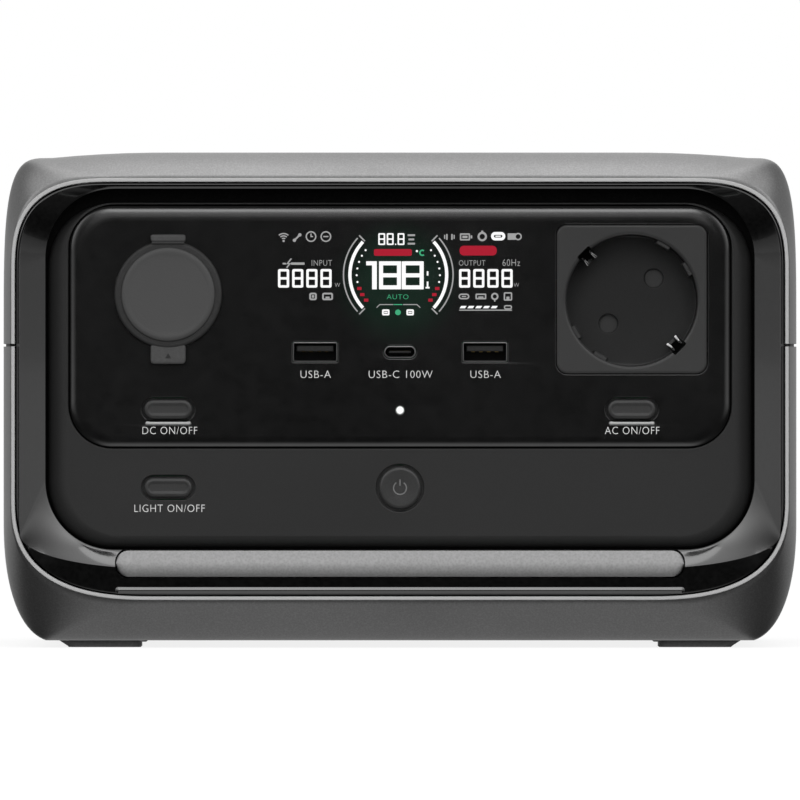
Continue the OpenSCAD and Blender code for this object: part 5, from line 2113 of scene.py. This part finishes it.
@dataclass
class Back:
    """The rear panel with its slats and screws, and the two inlets."""

    kit: Kit
    clearance: float = 2.65
    opening: Rounded = Rounded(0, 52, 115.2, 42, 1.6)
    pitch: float = 7.0
    slats: int = 16
    mains: tuple[float, float] = (-32.0, 100.5)
    dc: tuple[float, float] = (14.0, 100.5)

    def panel(self) -> Mesh:
        """Makes the panel with its openings and the slats.

        Returns:
            The mesh.
        """
        face, back = high("rear_panel").y, low("rear_panel").y
        outline = REAR.inset(self.clearance)
        holes = [Rounded(*self.mains, 27.6, 20.4, 1), Rounded(*self.dc, 16.4, 8.6, 0.8), self.opening]
        rim = quarter_round(-0.5, 0.5, face, back, 3)
        shape = Shape().panel(lambda g: outline.inset(-g).loop(), quarter_round(0.5, 0.5, face, back, 4),
                              [(hole.loop, rim) for hole in holes])
        slat = Shape().panel(Rounded(0, 0, self.pitch - 3.2, 2.0, 0.9).loop, [(0, -21.4), (0, 21.4)],
                             plane=Plane.TOP)
        first = -self.pitch * (self.slats - 1) / 2
        rows = self.kit.row(slat, "grille", self.slats, 1, (first, face - 1.5, self.opening.v), (self.pitch, 0, 0))
        return together(shape.mesh("panel"), rows)

    def mains_inlet(self) -> Mesh:
        """Makes the three-pin inlet: a flange, a body and the keyed recess.

        Returns:
            The mesh.
        """
        shape, face, back = Shape(), high("ac_inlet").y, low("ac_inlet").y
        u, v = self.mains
        flange, body = Rounded(u, v, 31, 24, 2), Rounded(u, v, 27.2, 20, 2)
        outer = shape.walls(flange.loop, quarter_round(0.7, 0.7, face, face - 2, 4), Plane.FRONT)
        neck = shape.walls(body.loop, [(0, face - 2), (0, back)], Plane.FRONT)
        shape.skin(outer[-1], neck[0])

        def recess(grow: float) -> Loop:
            """Gives the keyed outline, its upper corners cut off.

            Args:
                grow: how far it moves outwards.

            Returns:
                The outline.
            """
            w, h, c = 12.1 + grow, 8.3 + grow, 4.24
            return [(u + w, v - h), (u + w, v + h - c), (u + w - c, v + h), (u - w + c, v + h),
                    (u - w, v + h - c), (u - w, v - h)]

        hole = shape.walls(recess, [(0.4, face), (0.12, face - 0.15), (0, face - 0.5), (0, face - 17)], Plane.FRONT)
        cup(shape, [outer[0], neck[-1]], hole)
        return shape.mesh("inlet")

    def dc_inlet(self) -> Mesh:
        """Makes the shell of the low voltage inlet, the one with two round pins.

        Returns:
            The mesh.
        """
        shape, face, back = Shape(), high("dc_inlet").y, low("dc_inlet").y
        u, v = self.dc
        outer = shape.walls(Rounded(u, v, 16, 8.2, 1.2).loop, quarter_round(0.4, 0.4, face, back, 3), Plane.FRONT)
        hole = shape.walls(Rounded(u, v, 13.6, 5.8, 0.8).loop,
                           [(0.25, face), (0, face - 0.4), (0, face - 10)], Plane.FRONT)
        cup(shape, outer, hole)
        return shape.mesh("dc")

    def build(self) -> None:
        """Makes the pieces."""
        f = self.kit.finish
        fit("rear_plate", self.panel(), f["grille"], Place("grille_black", nodes=("rear_panel",)))
        fit("mains_inlet", self.mains_inlet(), f["insulator"], Place("port_insulator", nodes=("ac_inlet",)))
        fit("mains_inlet_pins", honed("ac_inlet_pins", 0.35), f["nickel"],
            Place("earth_nickel", nodes=("ac_inlet_pins",)))
        fit("dc_inlet_shell", self.dc_inlet(), f["insulator"], Place("contact_brass", nodes=("dc_inlet",)))
        pin = Shape().lathe(0, 0, [(0, 0), (1.2, 0), (1.6, -0.3), (1.75, -0.9), (1.75, -9), (0, -9)])
        face = high("dc_inlet").y - 2
        fit("dc_inlet_pins", self.kit.row(pin, "brass", 2, 1, (self.dc[0] - 3.6, face, self.dc[1]), (7.2, 0, 0)),
            f["brass"], Place("contact_brass"))
        corner, far = low("rear_panel_screws"), high("rear_panel_screws")
        head = 2.9
        screws = self.kit.row(hex_screw(Plane.FRONT, 11.5, -1, head), "screw", 2, 2,
                              (corner.x + head, far.y, corner.z + head),
                              (far.x - corner.x - 2 * head, 0, 0), (0, 0, far.z - corner.z - 2 * head))
        fit("rear_screw_set", screws, f["screw"], Place("screw_steel", nodes=("rear_panel_screws",)))


@dataclass
class Handle:
    """The carrying handle: a bent bar on two flanges, with a ribbed rubber sleeve let into it."""

    kit: Kit
    x: float = 73.0
    z: float = 119.5
    bar_y: float = 107.0
    section: tuple[float, float, float] = (18.0, 23.0, 8.0)
    bend: float = 17.0
    flange: tuple[float, float, float] = (42.0, 28.0, 9.0)
    grip: float = 50.0
    inlay: float = 1.4
    rib_pitch: float = 3.4
    ribs: int = 29
    screw_reach: float = 15.0

    def section_loop(self, grow: float) -> Loop:
        """Returns the bar's section about the origin."""
        return Rounded(0, 0, *self.section).loop(grow, 12)

    def placed(self, grow: float) -> Loop:
        """Returns the bar's section in its place."""
        return [(u + self.bar_y, v + self.z) for u, v in self.section_loop(grow)]

    def bar(self) -> Mesh:
        """Makes the bar with its flanges, thinned where the sleeve sits.

        Returns:
            The mesh.
        """
        root = low("rear_handle").y
        data = bpy.data.meshes.new("path")
        corners = [(-self.x, root), (-self.x, self.bar_y), (self.x, self.bar_y), (self.x, root)]
        data.from_pydata([(x * MM, y * MM, self.z * MM) for x, y in corners], [(0, 1), (1, 2), (2, 3)], [])
        deep, tall, corner = (size * MM for size in self.section)
        bar = self.kit.pattern.bent_bar.grow(data, {"Bend": self.bend * MM, "Width": deep, "Height": tall,
                                                    "Corner": corner, "Finish": self.kit.finish["case"]})
        tidy_mesh(bar)
        tool = Shape().panel(self.placed, [(1, -self.grip), (1, self.grip)],
                             [(self.placed, [(-self.inlay, -self.grip), (-self.inlay, self.grip)])], Plane.SIDE)
        bar = carve(bar, [tool.mesh("tool")])
        flanges = Shape()
        for side in (-1, 1):
            flanges.panel(Rounded(side * self.x, self.z, *self.flange).loop,
                          quarter_round(1.2, 1.0, root + 3, root, 5))
            fillet = Rounded(side * self.x, self.z, *self.section)
            flanges.panel(fillet.loop, [(2.2 * (1 - math.sin(QUARTER * k / 5)),
                                         root + 2.9 + 2.2 * (1 - math.cos(QUARTER * k / 5))) for k in range(6)])
        return together(bar, flanges.mesh("flanges"))

    def sleeve(self) -> Mesh:
        """Makes the rubber sleeve with a rib at every step.

        Returns:
            The mesh.
        """
        base, rib, edge = Shape(), Shape(), self.grip - 0.05
        base.panel(self.placed, [(-0.6, -edge), (-0.6, edge)],
                   [(self.placed, [(-self.inlay, -edge), (-self.inlay, edge)])], Plane.SIDE)
        profile = [(-1.0, -1.15), (-0.55, -1.15), (-0.2, -0.95), (-0.03, -0.55), (-0.03, 0.55), (-0.2, 0.95),
                   (-0.55, 1.15), (-1.0, 1.15)]
        rings = rib.walls(self.section_loop, profile, Plane.SIDE)
        rib.skin(rings[-1], rings[0])
        first = -self.rib_pitch * (self.ribs - 1) / 2
        ribs = self.kit.row(rib, "grip", self.ribs, 1, (first, self.bar_y, self.z), (self.rib_pitch, 0, 0))
        return together(base.mesh("base"), ribs)

    def build(self) -> None:
        """Makes the pieces."""
        f = self.kit.finish
        fit("carry_handle", self.bar(), f["case"], Place("case_graphite", nodes=("rear_handle",)))
        fit("grip_sleeve", self.sleeve(), f["grip"], Place("grip_rubber", nodes=("handle_grip",)))
        face, screws = high("handle_screws").y, []
        for side in (-1, 1):
            screws.append(self.kit.row(hex_screw(Plane.FRONT, 11.5, -1, 2.9), "screw", 2, 1,
                                       (side * self.x - self.screw_reach, face, self.z),
                                       (2 * self.screw_reach, 0, 0)))
        fit("handle_screw_set", together(*screws), f["screw"], Place("screw_steel", nodes=("handle_screws",)))


@dataclass
class Innards:
    """What sits inside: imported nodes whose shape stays, each with its own finish."""

    kit: Kit
    finishes: dict[str, str] = field(default_factory=lambda: {
        # the front carrier takes the painted shadow black, so the gap above the fascia reads as shade
        "front_carrier": "void", "light_bar_board": "board", "display_board": "board", "lcd_module": "inner",
        "tact_switches": "black", "ac_socket_back": "inner", "ac_socket_contacts": "brass",
        "cell_holder_lower": "black", "cell_holder_upper": "black", "battery_cells": "cell",
        "busbars": "nickel", "battery_board": "board", "mid_frame": "inner", "main_board": "board",
        "transformer": "ferrite", "filter_chokes": "copper", "bulk_capacitors": "cell",
        "heatsink_left": "sink", "heatsink_right": "sink",
    })

    def build(self) -> None:
        """Dresses the nodes."""
        for node, key in self.finishes.items():
            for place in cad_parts[node].material_slots:
                place.material = self.kit.finish[key]
            log.info("%s keeps its shape, finished as %s", node, key)


@dataclass
class Stage:
    """The floor, the light and the camera, in metres.

    Each light has a name, a place, a point it faces, a width and height, and a radiance.
    """

    distance: float = 5.0
    view_w: float = 0.236
    view_z: float = 0.0732
    sensor: float = 36.0
    floor_r: float = 40.0
    overhead: float = 1.2
    underneath: float = 0.56
    around: float = 0.48
    wings: tuple[float, float] = (0.38, 1.1)
    lights: tuple[tuple[str, Point, Point, tuple[float, float], float], ...] = (
        ("overhead", (0.0, -0.1, 1.3), (0.0, -0.06, 0.1), (0.8, 0.8), 1.15),
        ("brow", (0.0, -2.3, 1.28), (0.0, -0.11, 0.12), (0.9, 0.56), 2.2),
        ("low_brow", (0.0, -2.4, 0.72), (0.0, -0.11, 0.12), (0.9, 0.5), 0.5),
        ("fill", (0.0, -2.6, 0.5), (0.0, -0.11, 0.08), (2.0, 1.5), 7.5),
        ("left_box", (-0.42, -0.42, 0.0425), (0.0, -0.11, 0.0425), (0.45, 0.085), 0.22),
        ("right_box", (0.42, -0.42, 0.0425), (0.0, -0.11, 0.0425), (0.45, 0.085), 0.22),
    )

    def floor(self) -> None:
        """Lays a wide pale floor."""
        data = Shape()
        ring = data.ring(disc(0, 0, self.floor_r / MM).loop(0, 24), 0, Plane.TOP)
        data.cap(ring)
        floor = loose("floor", data.mesh("floor"))
        material = bpy.data.materials.new("Floor")
        material.use_nodes = True
        material.node_tree.nodes.clear()
        g = Graph(material.node_tree)
        where = g.add("ShaderNodeTexCoord").outputs["Object"]
        tone = g.add("ShaderNodeTexNoise", {"Vector": where, "Scale": 3.0}).outputs["Fac"]
        shader = g.add("ShaderNodeBsdfPrincipled", {"Base Color": g.mix(tone, grey(0.14), grey(0.17)),
                                                    "Roughness": 0.9, "Specular IOR Level": 0.0,
                                                    "Emission Color": grey(1.0), "Emission Strength": 0.85})
        g.add("ShaderNodeOutputMaterial", {"Surface": shader.outputs[0]})
        floor.data.materials.append(material)
        floor.visible_glossy = floor.visible_diffuse = floor.visible_shadow = False

    def sky(self) -> None:
        """Surrounds the station with soft light: bright above, dim beside it and dark in front."""
        world = bpy.data.worlds.new("Studio")
        bpy.context.scene.world = world
        world.use_nodes = True
        world.node_tree.nodes.clear()
        g = Graph(world.node_tree)
        way = g.add("ShaderNodeTexCoord").outputs["Generated"]
        axes = g.add("ShaderNodeSeparateXYZ", {0: way})
        up, behind = axes.outputs["Z"], axes.outputs["Y"]
        sideways = g.math("ABSOLUTE", axes.outputs["X"])
        rear = g.remap(behind, -0.2, 0.2, 0.0, 1.0, True)
        narrow = g.math("SUBTRACT", 1.0, g.math("MULTIPLY", rear, g.remap(sideways, 0.2, 0.52, 0.0, 0.85, True)))
        overhead = g.math("POWER", g.remap(up, 0.08, 0.95, 0.0, 1.0, True), 1.5)
        above = g.math("MULTIPLY", g.math("MULTIPLY", overhead, self.overhead), narrow)
        below = g.math("MULTIPLY", g.remap(up, -0.35, -0.75, 0.0, self.underneath, True),
                       g.remap(sideways, 0.08, 0.4, 1.0, 0.05, True))
        around = g.math("MULTIPLY", g.remap(behind, -0.3, 0.5, 0.0, self.around, True),
                        g.math("MULTIPLY", g.remap(up, -0.8, -0.1, 0.0, 1.0, True),
                               g.math("MULTIPLY", g.remap(up, 0.3, 0.8, 1.0, 0.4, True),
                                      g.remap(sideways, 0.1, 0.5, 1.8, 1.0, True))))
        wings = g.math("MULTIPLY", g.math("MULTIPLY", g.remap(sideways, 0.3, 0.65, 0.0, 1.0, True),
                                          g.remap(up, -0.15, 0.06, 0.0, 1.0, True)),
                       g.math("MULTIPLY", g.math("SUBTRACT", 1.0, rear), g.remap(up, 0.0, 0.4, *self.wings)))
        total = g.math("ADD", g.math("ADD", above, below), g.math("ADD", around, wings))
        seen = g.add("ShaderNodeLightPath").outputs["Is Camera Ray"]
        light = g.add("ShaderNodeBackground", {"Color": (1, 1, 1, 1), "Strength": total})
        plain = g.add("ShaderNodeBackground", {"Color": (1, 1, 1, 1), "Strength": 1.0})
        mixed = g.add("ShaderNodeMixShader", {0: seen, 1: light.outputs[0], 2: plain.outputs[0]})
        g.add("ShaderNodeOutputWorld", {"Surface": mixed.outputs[0]})

    def lamp(self, name: str, where: Vector, aim: Vector, size: tuple[float, float],
             radiance: float) -> Object:
        """Hangs a soft light.

        Args:
            name: its name.
            where: where it hangs.
            aim: the point it faces.
            size: its width and height.
            radiance: how bright its face is.

        Returns:
            The light.
        """
        data = bpy.data.lights.new(name, "AREA")
        data.shape, data.size, data.size_y = "RECTANGLE", *size
        data.energy = radiance * math.pi * size[0] * size[1]
        lamp = bpy.data.objects.new(name, data)
        bpy.context.scene.collection.objects.link(lamp)
        lamp.location = where
        lamp.rotation_euler = (aim - where).to_track_quat("-Z", "Y").to_euler()
        lamp.visible_camera = False
        return lamp

    def camera(self) -> None:
        """Puts the camera straight in front, far off with a long lens."""
        data = bpy.data.cameras.new("camera")
        data.sensor_width = self.sensor
        data.lens = self.sensor * self.distance / self.view_w
        data.clip_end = 200.0
        camera = bpy.data.objects.new("camera", data)
        bpy.context.scene.collection.objects.link(camera)
        camera.location = (0.0, low("bezel_ring").y * MM - self.distance, self.view_z)
        camera.rotation_euler = (QUARTER, 0.0, 0.0)
        bpy.context.scene.camera = camera

    def build(self) -> None:
        """Sets the stage."""
        self.floor()
        self.sky()
        for name, where, aim, size, radiance in self.lights:
            lamp = self.lamp(name, Vector(where), Vector(aim), size, radiance)
            lamp.visible_glossy = name != "fill"
        self.camera()
        bpy.context.scene.view_settings.view_transform = "Standard"


def main() -> None:
    """Builds the station and its stage."""
    logging.basicConfig(level=logging.INFO, format="%(message)s")
    kit = Kit()
    Case(kit).build()
    controls = Controls(kit)
    FrontBezel(kit).build(controls.fascia_openings())
    controls.build()
    Display(kit).build()
    UsbPorts(kit).build()
    CarOutlet(kit).build()
    MainsOutlet(kit).build()
    SideVents(kit).build()
    Back(kit).build()
    Handle(kit).build()
    Innards(kit).build()
    Stage().build()


if __name__ == "__main__":
    main()
